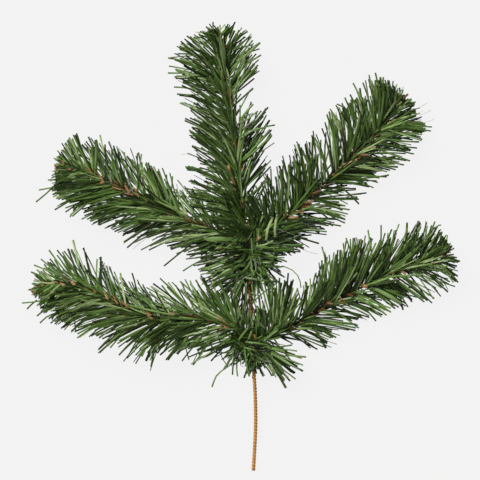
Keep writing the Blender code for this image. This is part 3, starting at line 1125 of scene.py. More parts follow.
        # painted shade: each tuft's painted darkening is taken off its strips' shades
        shade = np.clip(self.pick_shades(len(tuft), *shades) - tufts.darker[tuft], 0.0, 1.0)
        widths = width * (1 + rng.normal(0.0, brush.width_scatter, len(tuft)))
        long_enough = last > brush.shortest_samples
        return StripSet(centres[long_enough], flat[long_enough], widths[long_enough], shade[long_enough])

    def build_needles(self, strays: list[Stray], film: bpy.types.Material) -> None:
        """Builds the green needles: the helix, the fans at the junction, and the strips out of place.

        Args:
            strays: the strips out of place.
            film: their film.
        """
        brush = self.brush
        tufts = Tufts.joined([self.helix_tufts()] + [self.fan_tufts(fan) for fan in self.fans])
        strips = StripSet.joined([self.grown(tufts, brush.needle_width, GREEN_MIXTURE)]
                                 + [stray.strip(brush.rings) for stray in strays])
        piece = strips.shape(brush.needle_thickness).make(self.name + "_film_needles", film)
        place_piece(piece, (self.name + "_needles",))

    def build_bark(self, placed: tuple[tuple[float, ...], ...], strays: list[Stray],
                   film: bpy.types.Material) -> None:
        """Builds the brown strips, wound in with the green ones and cut short.

        Args:
            placed: rows of (across, down, across, down, width, shade): where a strip starts and ends in the
                picture. It lies a little over the wire.
            strays: the ones round the bindings.
            film: their film.
        """
        brush, brown = self.brush, self.brown
        strips = [self.grown(self.bark_tufts(), brown.width, BROWN_MIXTURE)]
        strips += [stray.strip(brush.rings) for stray in strays]
        for across, down, to_across, to_down, width, shade in placed:
            start = picture_place(across, down, WIRE_HEIGHT)
            near = np.argmin(np.linalg.norm(self.line.points[:, :2] - start[:2], axis=1))
            height = self.line.points[near, 2] + brown.lift
            places = ((across, down, height - brown.dip), (to_across, to_down, height + brown.rise))
            strips.append(Stray(places, width, shade).strip(brush.rings))
        piece = StripSet.joined(strips).shape(brush.needle_thickness).make(self.name + "_brown_strips", film)
        place_piece(piece)

    def build_wire(self, coat: bpy.types.Material) -> None:
        """Builds the core: two strands twisted round each other."""
        rope = Rope(self.line, strand_radius=0.36, strand_offset=0.32, pitch=4.2, stations_per_turn=10,
                    sides=6)
        place_piece(rope.shape().make(self.name + "_twisted_core", coat),
                    (self.name + "_wire",))


@dataclass
class Stem:
    """The stem: two lacquered wires twisted into one, cut square at the bottom."""

    knots: list[Place]
    # painted shade: above this height along the stem, where the needles cover it, its coat is painted darker
    rubbed_below: float = -95.0
    blend: float = 6.0
    unrubbed: float = 0.58

    def build(self, coat: bpy.types.Material) -> None:
        """Builds the stem in place of its solid bar. Where needles cover it, its coat is painted darker: a
        painted shade.

        Args:
            coat: its lacquer.
        """
        rope = Rope(CentreLine.through(self.knots), strand_radius=0.85, strand_offset=0.68, pitch=5.2,
                    stations_per_turn=18, sides=14)
        shape = rope.shape()
        # painted shade on the stem where the needles cover it
        covered = np.clip((shape.points[:, 1] - self.rubbed_below) / self.blend, 0.0, 1.0)
        shape.point_values["ridge"] *= 1.0 - (1.0 - self.unrubbed) * covered
        place_piece(shape.make("twisted_stem", coat), ("stem",))


@dataclass
class Wrapping:
    """A binding: tape wound over the stem and the sprigs' wires."""

    name: str
    stem: list[Place]
    from_y: float
    to_y: float
    radii: tuple[float, ...]
    tape_width: float = 4.0
    tape_thickness: float = 0.28
    edge_share: float = 0.12           # of the tape's width, over which its edge drops
    end_sharpness: int = 14
    end_share: float = 0.02            # how much of the radius is left at the ends, squared
    hollow_radius: float = 0.9
    rings: int = 72
    sides: int = 40

    def build(self, tape: bpy.types.Material) -> None:
        """Builds the wrapping in place of its solid sleeve.

        Its radius follows the given ones, and each turn of tape lies over the last: the radius rises by
        the tape's thickness over a tape's width and drops at its edge, along a screw line round the stem.
        The skin turns in at both ends and runs back inside, so that it is closed.

        Args:
            tape: its material.
        """
        line = CentreLine.through(self.stem)
        wrapped = (line.points[:, 1] <= self.from_y) & (line.points[:, 1] >= self.to_y)
        picks = np.flatnonzero(wrapped).astype(float)
        stations = np.linspace(picks[0], picks[-1], self.rings)
        point, _, up, left = line.at(stations)
        share = np.linspace(0.0, 1.0, self.rings)
        body = np.interp(share, np.linspace(0.0, 1.0, len(self.radii)), self.radii)
        angle = 2 * np.pi * np.arange(self.sides) / self.sides
        wound = ((stations[:, None] - stations[0]) / self.tape_width + angle[None, :] / (2 * np.pi)) % 1.0
        edge = np.clip((1.0 - wound) / self.edge_share, 0.0, 1.0)
        radius = body[:, None] - self.tape_thickness * (1 - wound * edge)
        rounding = np.clip(1.0 - np.abs(2 * share - 1) ** self.end_sharpness, self.end_share, 1.0)
        radius = radius * np.sqrt(rounding)[:, None]
        radius = np.vstack([radius, np.full((2, self.sides), self.hollow_radius)])
        rows = np.r_[np.arange(self.rings), self.rings - 1, 0]
        points = point[rows, None, :] + radius[..., None] * around(self.sides, up[rows], left[rows])
        quads = skin_quads(self.rings + 2, self.sides, closed=True)
        shape = Shape(points.reshape(-1, 3), quads[:, ::-1].tolist())
        place_piece(shape.make(self.name + "_wound_tape", tape), (self.name,))


@dataclass
class LooseHairs:
    """Fine grey threads of film, drawn out where the needles were slit and still caught among them."""

    paths: tuple[tuple[Place, ...], ...]
    width: float = 0.22
    thickness: float = 0.14
    shade: float = 0.5

    def build(self, film: bpy.types.Material) -> None:
        """Builds all threads as one piece."""
        strips = [Stray(places, self.width, self.shade).strip(Brush.rings) for places in self.paths]
        place_piece(StripSet.joined(strips).shape(self.thickness).make("loose_film_hairs", film))


@dataclass
class Studio:
    """A white table that rises into the backdrop, a soft key light from the upper left, and the camera
    above. The room's sizes are in metres."""

    table_radii: tuple[float, ...] = (0.5, 2.0, 5.0)
    table_radius: float = 8.0
    table_sides: int = 96
    table_drop_mm: float = 0.2
    cove_radius: float = 5.0
    cove_rings: int = 13
    room_colour: str = "#ffffff"
    room_strength: float = 0.19
    key_strength: float = 3.62
    key_colour: str = "#fffdf6"
    key_softness_deg: float = 30.0
    key_place: Place = (-1.0, 0.8, 1.5)
    key_tilt_deg: float = 34.0
    key_heading_deg: float = 220.0
    sensor_mm: float = 36.0
    sight: float = 60.0

    def build_table(self) -> None:
        """Builds the table just under the branch: a flat disc, a quarter round and a wall, turned.

        It lights nothing on the branch, because the room's light already stands for what it sends back.
        """
        turn = np.radians(np.linspace(0.0, 90.0, self.cove_rings))
        radii = np.r_[self.table_radii, self.table_radius + self.cove_radius * np.sin(turn)]
        heights = np.r_[0.0 * np.array(self.table_radii), self.cove_radius * (1 - np.cos(turn))]
        radii, heights = np.append(radii, radii[-1]), np.append(heights, heights[-1] + self.cove_radius)
        sides = self.table_sides
        angle = 2 * np.pi * np.arange(sides) / sides
        points = np.stack([radii[:, None] * np.cos(angle), radii[:, None] * np.sin(angle),
                           heights[:, None] - self.table_drop_mm * MM + 0 * angle], 2).reshape(-1, 3)
        quads = skin_quads(len(radii), sides)[:, [0, 3, 2, 1]]
        shape = Shape(points / MM, quads.tolist() + [list(range(sides))])
        table = shape.make("table", TableFinish().build())
        table.visible_diffuse = False
        table.visible_glossy = False

    def build_key(self) -> None:
        """Adds the key light: a far soft lamp from the upper left, so that the table is lit evenly."""
        lamp = bpy.data.lights.new("key_light", "SUN")
        lamp.energy = self.key_strength
        lamp.color = linear(self.key_colour)[:3]
        lamp.angle = math.radians(self.key_softness_deg)
        light = bpy.data.objects.new("key_light", lamp)
        bpy.context.scene.collection.objects.link(light)
        light.location = self.key_place
        light.rotation_euler = (math.radians(self.key_tilt_deg), 0.0, math.radians(self.key_heading_deg))

    def build_camera(self) -> None:
        """Adds the camera, straight over the branch and far away."""
        camera = bpy.data.objects.new("camera", bpy.data.cameras.new("camera"))
        bpy.context.scene.collection.objects.link(camera)
        camera.data.sensor_width = self.sensor_mm
        camera.data.lens = self.sensor_mm * CAMERA_DISTANCE / PICTURE_MM
        camera.data.clip_end = self.sight
        camera.location = (CAMERA_PLACE[0] * MM, CAMERA_PLACE[1] * MM, (CAMERA_DISTANCE + WIRE_HEIGHT) * MM)
        bpy.context.scene.camera = camera

    def build(self) -> None:
        """Builds the table, the room's light, the key light and the camera."""
        self.build_table()
        scene = bpy.context.scene
        scene.view_settings.view_transform = "Standard"
        scene.world = bpy.data.worlds.new("pale_room")
        scene.world.use_nodes = True
        background = scene.world.node_tree.nodes["Background"]
        fill_inputs(scene.world.node_tree, background, {"Color": linear(self.room_colour),
                                                        "Strength": self.room_strength})
        self.build_key()
        self.build_camera()


STEM_KNOTS = [
    (10.5, 0.0, 22.0), (9.2, -12.0, 22.0), (8.0, -30.0, 21.5), (9.6, -52.0, 20.6), (11.4, -76.0, 20.0),
    (11.3, -96.0, 17.0), (12.4, -118.0, 11.0), (12.7, -142.0, 5.0), (11.0, -177.0, 1.4),
]


def sprigs() -> list[Sprig]:
    """The five sprigs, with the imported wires' routes and their own combing."""
    return [
        Sprig("top_sprig",
              [(10.2, -9.0, 24.9), (10.4, 0.0, 24.9), (9.2, 9.0, 24.6), (4.6, 20.0, 24.0), (0.4, 44.0, 23.0),
               (-2.8, 76.0, 22.4), (-8.0, 109.0, 22.4), (-12.0, 136.0, 23.4), (-14.2, 157.0, 25.2),
               (-17.0, 172.0, 27.6)],
              18.0, 140.0, Combing(44.0, 57.0), Combing(54.0, 57.0),
              (Fan(155.0, 217.0, 26, 10.0, 21.0, ((7.5, 16.4, 25.5), (6.0, -7.0, 25.0)), 10.0),
               Fan(-27.0, 16.0, 22, 10.0, 27.0, ((14.9, 17.4, 25.5), (11.3, -7.3, 25.0)), 10.0, 0.2),
               Fan(40.0, 152.0, 20, 30.0, 24.0, ((13.2, 7.0, 25.0), (8.0, -9.3, 25.0)), 12.0, 0.05, 3.5),
               Fan(151.0, 166.0, 18, 6.0, 38.0, ((-8.8, 117.3, 24.0), (-14.0, 132.6, 25.0)), 6.0),
               Fan(167.0, 383.0, 60, 12.0, 14.0, ((12.1, -2.1, 27.2), (9.7, -16.1, 26.6)), 25.0, 0.28, 3.5)),
              (Spot(91.0, 125.0, -1, 0.1, 0.79, -10.0), Spot(19.0, 84.0, -1, 0.85, 1.05, -7.0),
               Spot(15.0, 62.0, 1, 0.93, 1.23, 8.0), Spot(62.0, 79.0, 1, 0.86, 1.08, 3.0),
               Spot(80.0, 102.0, 1, 0.71, 1.01, 3.0), Spot(109.0, 171.0, 1, 0.93, 1.13)),
              (24.5, 36.2), (-1.0, 11.0, 6.0), (-45.0, 0.62), 834, 0.25),
        Sprig("upper_left_sprig",
              [(6.5, -9.0, 22.0), (7.3, 0.0, 22.0), (5.4, 5.0, 22.0), (-2.0, 8.6, 22.0), (-16.0, 12.4, 21.8),
               (-36.0, 19.4, 21.4), (-58.0, 29.0, 21.0), (-82.0, 40.4, 21.4), (-106.0, 52.0, 22.6),
               (-126.0, 59.6, 24.2), (-145.0, 63.0, 26.8)],
              17.0, 125.0, Combing(42.0, 42.0), Combing(48.0, 45.0),
              (Fan(160.0, 181.0, 18, 8.0, 31.0, ((0.7, 8.9, 22.0), (7.0, -5.4, 22.0)), 9.0),
               Fan(180.0, 198.0, 20, 3.0, 49.0, ((-10.4, 13.0, 21.0), (1.2, 4.6, 21.0)), 6.0),
               Fan(177.0, 194.0, 18, 3.0, 38.0, ((2.7, -4.8, 21.0), (8.1, -12.8, 20.0)), 7.0, 0.1, 1.0),
               Fan(193.0, 208.0, 22, 3.0, 37.0, ((3.8, -11.5, 21.0), (11.1, -20.3, 20.0)), 12.0, 0.0, 1.0),
               Fan(229.0, 266.0, 30, 3.0, 37.0, ((9.3, -10.7, 17.5), (5.7, -21.7, 16.5)), 16.0, 0.1, 2.0),
               Fan(-3.0, 358.0, 60, 8.0, 19.0, ((11.5, 14.7, 20.0), (6.5, -20.7, 20.0)), 28.0, 0.3, 3.5)),
              (Spot(15.0, 63.0, 1, 0.45, 0.7, -14.0), Spot(50.0, 69.0, -1, 0.41, 0.85, -15.0),
               Spot(98.0, 120.0, -1, 1.0, 1.18, 2.0), Spot(53.0, 117.0, 1, 1.0, 1.18, 1.0)),
              (24.1, 34.1), (-2.0, 10.0, 3.0), (-25.0, 0.9), 781, 0.15),
        Sprig("upper_right_sprig",
              [(12.4, -9.0, 22.0), (13.3, 0.0, 22.0), (16.0, 5.4, 22.0), (24.0, 12.6, 22.0),
               (37.0, 23.0, 21.8), (56.0, 38.6, 21.4), (76.0, 58.4, 21.4), (96.0, 77.0, 22.2),
               (112.0, 94.6, 23.6), (122.0, 107.0, 25.2), (129.4, 118.0, 27.4)],
              18.0, 55.0, Combing(52.0, 62.0), Combing(51.0, 56.0),
              (Fan(348.0, 368.0, 32, 5.0, 33.0, ((14.1, 8.9, 22.0), (13.7, -1.7, 22.0)), 8.0, 0.3),
               Fan(354.0, 375.0, 30, 3.0, 39.0, ((17.8, 6.6, 23.0), (31.9, 18.0, 23.0)), 6.0, 0.25),
               Fan(313.0, 347.0, 18, 5.0, 23.0, ((13.9, 2.0, 22.0), (11.1, -11.5, 21.0)), 12.0, 0.15),
               Fan(266.0, 320.0, 26, 3.0, 28.0, ((12.8, -6.1, 17.5), (10.5, -16.0, 16.5)), 14.0, 0.15),
               Fan(55.0, 137.0, 20, 15.0, 26.0, ((11.7, 1.2, 22.0), (18.2, 7.7, 22.0)), 12.0, 0.42),
               Fan(-20.0, 23.0, 26, 5.0, 41.0, ((94.6, 77.8, 23.0), (116.4, 99.7, 25.0)), 6.0),
               Fan(-13.0, 362.0, 60, 8.0, 14.0, ((14.0, 14.4, 20.0), (6.4, -20.2, 20.0)), 28.0, 0.35, 3.5),
               Fan(-32.0, 223.0, 50, 12.0, 14.0, ((8.4, 8.5, 27.0), (8.6, -11.2, 26.4)), 25.0, 0.33, 3.5)),
              (Spot(79.0, 98.0, 1, 0.5, 1.07), Spot(96.0, 125.0, 1, 0.88, 1.11),
               Spot(132.0, 171.0, 1, 0.95, 0.87, -8.0), Spot(23.0, 61.0, -1, 0.86, 1.07, -2.0),
               Spot(107.0, 111.0, -1, 1.0, 1.25, -3.0), Spot(127.0, 172.0, -1, 1.0, 1.06, -5.0)),
              (25.5, 35.4), (-1.0, 13.0, -4.0), (-50.0, 1.0), 245, 0.45),
        Sprig("lower_left_sprig",
              [(8.4, -88.0, 18.6), (8.4, -76.0, 20.0), (6.8, -71.6, 20.4), (0.0, -67.0, 20.6),
               (-14.0, -61.6, 20.8), (-34.0, -55.6, 20.8), (-60.0, -56.6, 20.8), (-84.0, -52.0, 21.0),
               (-106.0, -39.4, 21.6), (-130.0, -30.4, 22.6), (-150.0, -30.4, 24.6), (-166.0, -34.6, 26.8)],
              21.0, 20.0, Combing(45.0, 58.0), Combing(47.0, 47.0),
              (Fan(197.0, 220.0, 9, 0.0, 43.0, ((-1.0, -66.7, 20.5), (5.6, -74.7, 20.0)), 14.0),
               Fan(210.0, 249.0, 10, 0.0, 27.0, ((-1.0, -67.1, 20.5), (8.2, -82.0, 19.0)), 20.0, 0.08),
               Fan(249.0, 286.0, 7, 0.0, 17.0, ((7.1, -81.2, 19.0), (15.0, -88.0, 18.0)), 14.0, 0.08),
               Fan(226.0, 302.0, 14, 6.0, 11.0, ((9.3, -84.5, 22.0), (12.3, -86.8, 21.0)), 16.0, 0.1, 1.2),
               Fan(-4.0, 362.0, 90, 18.0, 17.0, ((-2.0, -72.7, 21.5), (10.2, -83.6, 20.0)), 34.0, 0.38, 3.0),
               Fan(97.0, 153.0, 26, 18.0, 46.0, ((-11.4, -59.0, 21.5), (4.9, -71.0, 21.5)), 9.0, 0.0, 1.5),
               Fan(74.0, 100.0, 18, -2.0, 33.3, ((2.1, -67.7, 17.0), (13.3, -78.3, 17.0)), 9.0, 0.1, 1.5)),
              (Spot(130.0, 185.0, -1, 0.92, 1.25, 8.0), Spot(17.0, 44.0, 1, 0.3, 0.78, -4.0),
               Spot(61.0, 108.0, -1, 1.0, 1.11, -6.0), Spot(106.0, 118.0, -1, 0.9, 1.11, 1.0),
               Spot(62.0, 113.0, 1, 0.85, 0.9, -2.0), Spot(117.0, 183.0, 1, 1.0, 1.24, 1.0)),
              (21.1, 38.0), (-4.0, 44.0, 8.0), (-50.0, 0.9), 731),
        Sprig("lower_right_sprig",
              [(14.4, -88.0, 18.6), (14.4, -77.6, 20.0), (17.0, -74.4, 20.4), (24.0, -71.8, 20.6),
               (40.0, -63.8, 20.8), (62.0, -50.2, 20.8), (88.0, -36.6, 20.8), (114.0, -22.6, 21.4),
               (138.0, -14.4, 22.8), (155.0, -8.8, 24.8), (164.6, -4.0, 27.0)],
              19.0, 150.0, Combing(47.0, 48.0), Combing(52.0, 60.0),
              (Fan(302.0, 336.0, 24, 0.0, 36.0, ((15.6, -77.2, 20.0), (15.5, -81.0, 20.0))),
               Fan(280.0, 304.0, 5, 0.0, 22.0, ((11.4, -79.9, 20.0), (14.0, -82.0, 20.0))),
               Fan(334.0, 352.0, 14, 5.0, 22.0, ((14.6, -76.1, 20.0), (16.8, -79.3, 20.0)), 8.0),
               Fan(4.0, 357.0, 60, 18.0, 13.0, ((9.2, -70.9, 21.5), (14.5, -85.7, 20.0)), 34.0, 0.38, 3.0),
               Fan(5.0, 365.0, 46, 8.0, 12.0, ((10.1, -74.4, 25.4), (11.7, -88.0, 23.5)), 34.0, 0.3, 3.0),
               Fan(76.0, 88.0, 20, 22.0, 41.0, ((26.5, -71.0, 21.5), (31.5, -68.5, 21.5)), 9.0, 0.1, 1.0),
               Fan(80.0, 104.0, 12, 22.0, 24.0, ((10.5, -75.7, 21.5), (19.5, -74.3, 21.5)), 9.0, 0.0, 1.5),
               Fan(16.0, 49.0, 14, 12.0, 19.0, ((15.1, -76.5, 22.5), (22.7, -71.7, 22.5)), 8.0, 0.1),
               Fan(80.0, 93.0, 14, 12.0, 41.0, ((29.0, -69.5, 21.0), (36.0, -66.0, 21.0)))),
              (Spot(20.0, 34.0, -1, 0.5, 0.7, -9.0), Spot(28.0, 50.0, 1, 0.71, 0.69, -2.0),
               Spot(49.0, 65.0, 1, 0.85, 0.73, -6.0), Spot(67.0, 92.0, 1, 0.96, 1.25, 6.0),
               Spot(107.0, 140.0, 1, 0.85, 0.73), Spot(140.0, 156.0, 1, 0.88, 0.9, 4.0),
               Spot(157.0, 168.0, 1, 0.9, 0.9, -7.0), Spot(92.0, 128.0, -1, 0.9, 0.96, 6.0)),
              (26.1, 35.3), (1.0, 12.0, 3.0), (-50.0, 1.0), 196),
    ]


# Green strips out of place, drawn one by one: width and shade, and then across, down and
# height of each place.
STRAYS = {
    "top_sprig": (
        (1.0, 0.72, 217, 54, 42, 222, 70, 40, 221, 86, 36, 223, 99, 30),
        (0.9, 0.7, 215, 43, 44, 218, 59, 42, 223, 72, 38, 229, 78, 31),
        (1.2, 0.95, 226, 67, 42, 229, 78, 38, 231, 87, 32),
        (1.7, 0.68, 230, 75, 32, 238, 63, 38, 245, 51, 40),
        (1.3, 0.05, 229, 38, 34, 232, 29, 38, 235, 22, 41),
        (1.3, 0.1, 230, 108, 26, 241, 99, 32, 253, 88, 34),
        (1.2, 0.3, 213, 34, 40, 213, 28, 40, 213, 22, 38),
        (1.2, 0.6, 194, 62, 38, 181, 60, 35, 168, 58, 30),
        (1.1, 0.55, 190, 70, 34, 180, 68, 32, 169, 66, 28),
        (1.3, 0.6, 192, 72, 32, 180, 73, 30, 168, 73, 26),
        (1.2, 0.5, 200, 91, 32, 187, 88, 30, 174, 87, 26),
        (1.3, 0.3, 204, 94, 34, 190, 95, 31, 177, 94, 26),
        (1.2, 0.65, 204, 112, 32, 192, 108, 29, 180, 103, 24),
        (1.2, 0.5, 247, 57, 34, 253, 50, 33, 260, 43, 30),
        (1.3, 0.6, 244, 66, 34, 253, 60, 32, 261, 55, 28),
        (1.4, 0.45, 238, 88, 30, 248, 76, 30, 258, 65, 26),
        (1.1, 0.65, 236, 116, 26, 241, 107, 30, 249, 92, 30),
        (1.8, 0.65, 240, 121, 27, 247, 111, 30, 253, 104, 30),
        (1.2, 0.6, 239, 131, 25, 240, 119, 28, 240, 105, 28),
        (1.2, 0.5, 234, 109, 30, 235, 114, 30, 236, 122, 28, 238, 130, 26),
        (1.1, 0.1, 235, 102, 30, 238, 98, 31, 241, 94, 30),
        (1.5, 0.1, 241, 121, 26, 245, 117, 28, 249, 114, 28),
        (1.9, 0.1, 234, 136, 26, 243, 129, 28, 255, 120, 28),
        (1.8, 0.1, 233, 130, 27, 237, 125, 28, 242, 121, 28),
        (1.4, 0.1, 233, 118, 28, 237, 112, 29, 241, 107, 29),
        (1.6, 0.3, 236, 142, 25, 237, 132, 26, 235, 123, 26),
        (1.6, 0.1, 231, 119, 30, 234, 126, 30, 236, 133, 28),
        (1.4, 0.7, 240, 139, 27, 248, 133, 28, 256, 129, 28, 265, 128, 26),
        (1.2, 0.6, 240, 125, 26, 249, 118, 28, 258, 111, 27),
        (1.2, 0.5, 255, 131, 24, 265, 127, 24, 275, 125, 22),
        (1.0, 0.35, 203, 169, 35, 194, 168, 33, 188, 166, 30),
        (1.0, 0.3, 216, 172, 36, 197, 171, 31, 187, 170, 26),
        (1.2, 0.03, 208, 188, 32, 200, 184, 28, 194, 180, 24)),
    "upper_left_sprig": (
        (3.0, 0.6, 200, 238, 32, 222, 239, 35, 246, 240, 33),
        (2.2, 0.7, 201, 270, 24, 214, 266, 29, 228, 259, 32),
        (1.2, 0.8, 154, 200, 38, 170, 207, 35, 190, 219, 29),
        (1.1, 0.65, 158, 197, 38, 174, 208, 35, 186, 222, 29),
        (1.2, 0.05, 194, 242, 30, 180, 253, 24, 164, 266, 14),
        (1.2, 0.55, 59, 181, 30, 48, 192, 22, 36, 202, 14),
        (1.1, 0.6, 62, 186, 26, 50, 188, 22, 39, 190, 18),
        (1.2, 0.7, 76, 177, 32, 62, 179, 30, 48, 180, 26),
        (1.0, 0.5, 79, 204, 24, 74, 211, 18, 70, 217, 12),
        (1.3, 0.85, 104, 154, 34, 102, 144, 32, 100, 135, 30),
        (1.1, 0.1, 208, 247, 30, 189, 246, 26, 170, 248, 19),
        (1.1, 0.12, 214, 253, 28, 200, 254, 24, 188, 255, 19),
        (1.0, 0.2, 204, 257, 26, 195, 258, 23, 186, 259, 18),
        (1.1, 0.55, 206, 258, 26, 194, 264, 20, 183, 271, 12),
        (1.2, 0.15, 190, 232, 28, 170, 240, 20, 149, 250, 10),
        (1.2, 0.1, 188, 229, 28, 168, 237, 20, 150, 246, 10),
        (1.0, 0.45, 166, 236, 22, 154, 243, 15, 141, 250, 8)),
    "upper_right_sprig": (
        (1.8, 1.0, 273, 217, 49, 268, 228, 46, 266, 240, 40),
        (1.8, 1.0, 277, 216, 49, 275, 226, 46, 275, 237, 40),
        (1.3, 0.15, 335, 183, 34, 347, 192, 33, 359, 204, 28),
        (1.2, 0.2, 343, 200, 28, 351, 195, 30, 361, 194, 28),
        (1.3, 0.6, 369, 113, 38, 362, 100, 37, 353, 83, 33),
        (1.4, 0.7, 254, 246, 33, 264, 245, 36, 273, 241, 37),
        (1.2, 0.6, 274, 244, 36, 274, 252, 34, 273, 259, 30),
        (1.6, 0.4, 244, 278, 30, 260, 280, 32, 277, 282, 28),
        (1.1, 0.65, 277, 283, 26, 264, 292, 28, 252, 303, 24),
        (0.8, 0.7, 283, 266, 30, 295, 272, 31, 300, 281, 28, 301, 288, 26),
        (1.2, 0.55, 377, 110, 34, 373, 93, 36, 369, 75, 32),
        (1.3, 0.08, 334, 136, 24, 331, 126, 26, 327, 115, 25),
        (1.1, 0.6, 341, 124, 30, 336, 117, 28, 330, 109, 25),
        (1.2, 0.25, 344, 130, 28, 341, 117, 29, 336, 105, 26),
        (1.1, 0.2, 349, 111, 30, 343, 107, 29, 337, 104, 28),
        (1.1, 0.6, 405, 124, 34, 420, 126, 30, 432, 127, 26),
        (1.1, 0.5, 404, 127, 32, 418, 129, 28, 431, 131, 24),
        (1.2, 0.5, 396, 145, 30, 407, 147, 25, 417, 148, 20),
        (1.1, 0.45, 396, 149, 26, 405, 152, 21, 414, 154, 16),
        (1.3, 0.7, 380, 150, 30, 396, 156, 25, 410, 161, 18),
        (1.2, 0.65, 376, 157, 28, 391, 162, 22, 404, 165, 15),
        (1.6, 0.6, 374, 164, 26, 386, 166, 21, 398, 167, 15),
        (1.3, 0.65, 364, 178, 24, 377, 177, 18, 389, 175, 13),
        (1.1, 0.6, 326, 211, 22, 335, 215, 17, 345, 219, 11),
        (1.1, 0.3, 327, 213, 20, 336, 219, 15, 345, 223, 9),
        (1.2, 0.45, 318, 222, 22, 330, 224, 16, 341, 226, 10)),
    "lower_left_sprig": (
        (1.2, 0.7, 230, 365, 12, 217, 375, 10, 212, 387, 6),
        (1.5, 0.6, 238, 341, 31, 243, 334, 34, 248, 328, 35),
        (1.4, 0.65, 248, 340, 32, 251, 333, 34, 253, 327, 35),
        (1.2, 0.68, 245, 342, 33, 256, 343, 35, 268, 345, 32),
        (1.1, 0.6, 243, 347, 32, 250, 349, 34, 257, 351, 32),
        (0.7, 0.4, 223, 343, 22, 221, 355, 16, 226, 364, 12),
        (1.9, 0.85, 79, 268, 32, 76, 253, 31, 73, 240, 28),
        (1.1, 0.6, 46, 300, 22, 33, 302, 18, 22, 303, 14),
        (1.2, 0.4, 37, 300, 20, 32, 304, 16, 27, 309, 12),
        (1.2, 0.2, 50, 305, 20, 43, 311, 15, 37, 316, 10), (1.2, 0.6, 60, 312, 20, 48, 316, 15, 40, 323, 9),
        (1.2, 0.25, 64, 311, 18, 60, 317, 14, 55, 324, 8),
        (1.2, 0.3, 92, 324, 20, 84, 328, 16, 76, 331, 11),
        (1.0, 0.2, 75, 321, 14, 75, 326, 12, 76, 331, 10),
        (1.2, 0.1, 136, 292, 24, 135, 283, 26, 132, 273, 26),
        (1.3, 0.6, 66, 272, 28, 57, 261, 28, 49, 250, 24),
        (1.2, 0.15, 72, 270, 30, 65, 260, 29, 57, 250, 26),
        (1.1, 0.6, 60, 277, 26, 50, 267, 25, 41, 259, 22),
        (1.2, 0.65, 58, 276, 26, 46, 270, 24, 34, 265, 20),
        (1.4, 0.5, 52, 281, 24, 41, 276, 22, 31, 272, 18),
        (1.3, 0.15, 228, 343, 24, 220, 351, 18, 211, 361, 10),
        (1.2, 0.15, 207, 340, 22, 211, 345, 18, 215, 352, 12),
        (1.4, 0.5, 248, 360, 18, 247, 369, 13, 244, 378, 8),
        (2.0, 0.1, 160, 334, 33, 153, 345, 27, 146, 361, 18),
        (1.4, 0.4, 157, 334, 35, 154, 352, 27, 151, 367, 18),
        (1.5, 0.6, 178, 338, 33, 169, 347, 26, 160, 355, 19),
        (1.4, 0.6, 182, 337, 35, 175, 348, 27, 166, 360, 18),
        (1.3, 0.45, 186, 335, 35, 177, 348, 27, 168, 360, 18),
        (2.4, 0.7, 188, 337, 37, 181, 345, 30, 173, 353, 21),
        (2.2, 0.65, 192, 338, 37, 184, 346, 30, 177, 354, 21),
        (1.2, 0.6, 202, 338, 35, 193, 347, 26, 182, 361, 18),
        (0.9, 0.4, 184, 340, 31, 186, 349, 25, 189, 360, 19),
        (1.3, 0.6, 212, 337, 35, 204, 350, 26, 193, 365, 17),
        (0.7, 0.4, 203, 343, 29, 198, 352, 23, 193, 363, 17),
        (1.8, 0.7, 206, 334, 37, 197, 340, 31, 187, 345, 25),
        (1.4, 0.5, 213, 340, 33, 205, 345, 27, 197, 350, 21),
        (1.6, 0.6, 210, 339, 31, 205, 347, 25, 199, 355, 19),
        (1.6, 0.65, 187, 335, 35, 179, 341, 30, 170, 347, 24)),
    "lower_right_sprig": (
        (2.2, 0.5, 313, 325, 24, 319, 336, 18, 326, 348, 10),
        (1.3, 0.3, 380, 252, 30, 381, 239, 32, 381, 225, 30),
        (1.3, 0.75, 388, 251, 30, 394, 237, 32, 399, 224, 30),
        (2.2, 0.15, 406, 250, 32, 413, 235, 34, 419, 221, 32),
        (1.2, 0.5, 351, 262, 28, 350, 250, 30, 346, 238, 28),
        (1.3, 0.65, 372, 256, 28, 370, 243, 31, 368, 230, 28),
        (1.2, 0.55, 406, 280, 28, 419, 291, 20, 432, 303, 12),
        (1.2, 0.6, 350, 303, 24, 365, 309, 16, 376, 321, 9),
        (1.2, 0.5, 350, 302, 26, 365, 308, 18, 379, 315, 11),
        (1.3, 0.1, 400, 284, 24, 406, 293, 18, 412, 302, 11),
        (1.3, 0.4, 396, 282, 26, 409, 291, 19, 422, 300, 12),
        (1.1, 0.5, 398, 292, 20, 403, 299, 15, 408, 307, 9),
        (1.4, 0.2, 400, 290, 20, 401, 300, 14, 403, 310, 8),
        (1.3, 0.15, 430, 276, 26, 439, 284, 20, 448, 292, 13),
        (1.1, 0.4, 434, 233, 30, 437, 226, 32, 441, 225, 32),
        (1.2, 0.6, 261, 363, 18, 267, 368, 14, 272, 376, 8),
        (1.9, 0.65, 263, 351, 28, 275, 369, 18, 286, 388, 9),
        (1.4, 0.35, 274, 363, 24, 283, 373, 16, 290, 381, 9),
        (2.0, 0.3, 266, 350, 28, 281, 363, 18, 295, 373, 10),
        (1.6, 0.6, 274, 355, 26, 289, 364, 18, 303, 371, 10),
        (1.5, 0.95, 286, 355, 26, 296, 356, 20, 306, 357, 14),
        (1.2, 0.97, 282, 349, 26, 290, 350, 22, 297, 351, 18),
        (1.2, 0.6, 279, 347, 28, 286, 346, 26, 292, 345, 23),
        (1.5, 0.65, 270, 347, 28, 283, 351, 22, 295, 355, 15)),
}

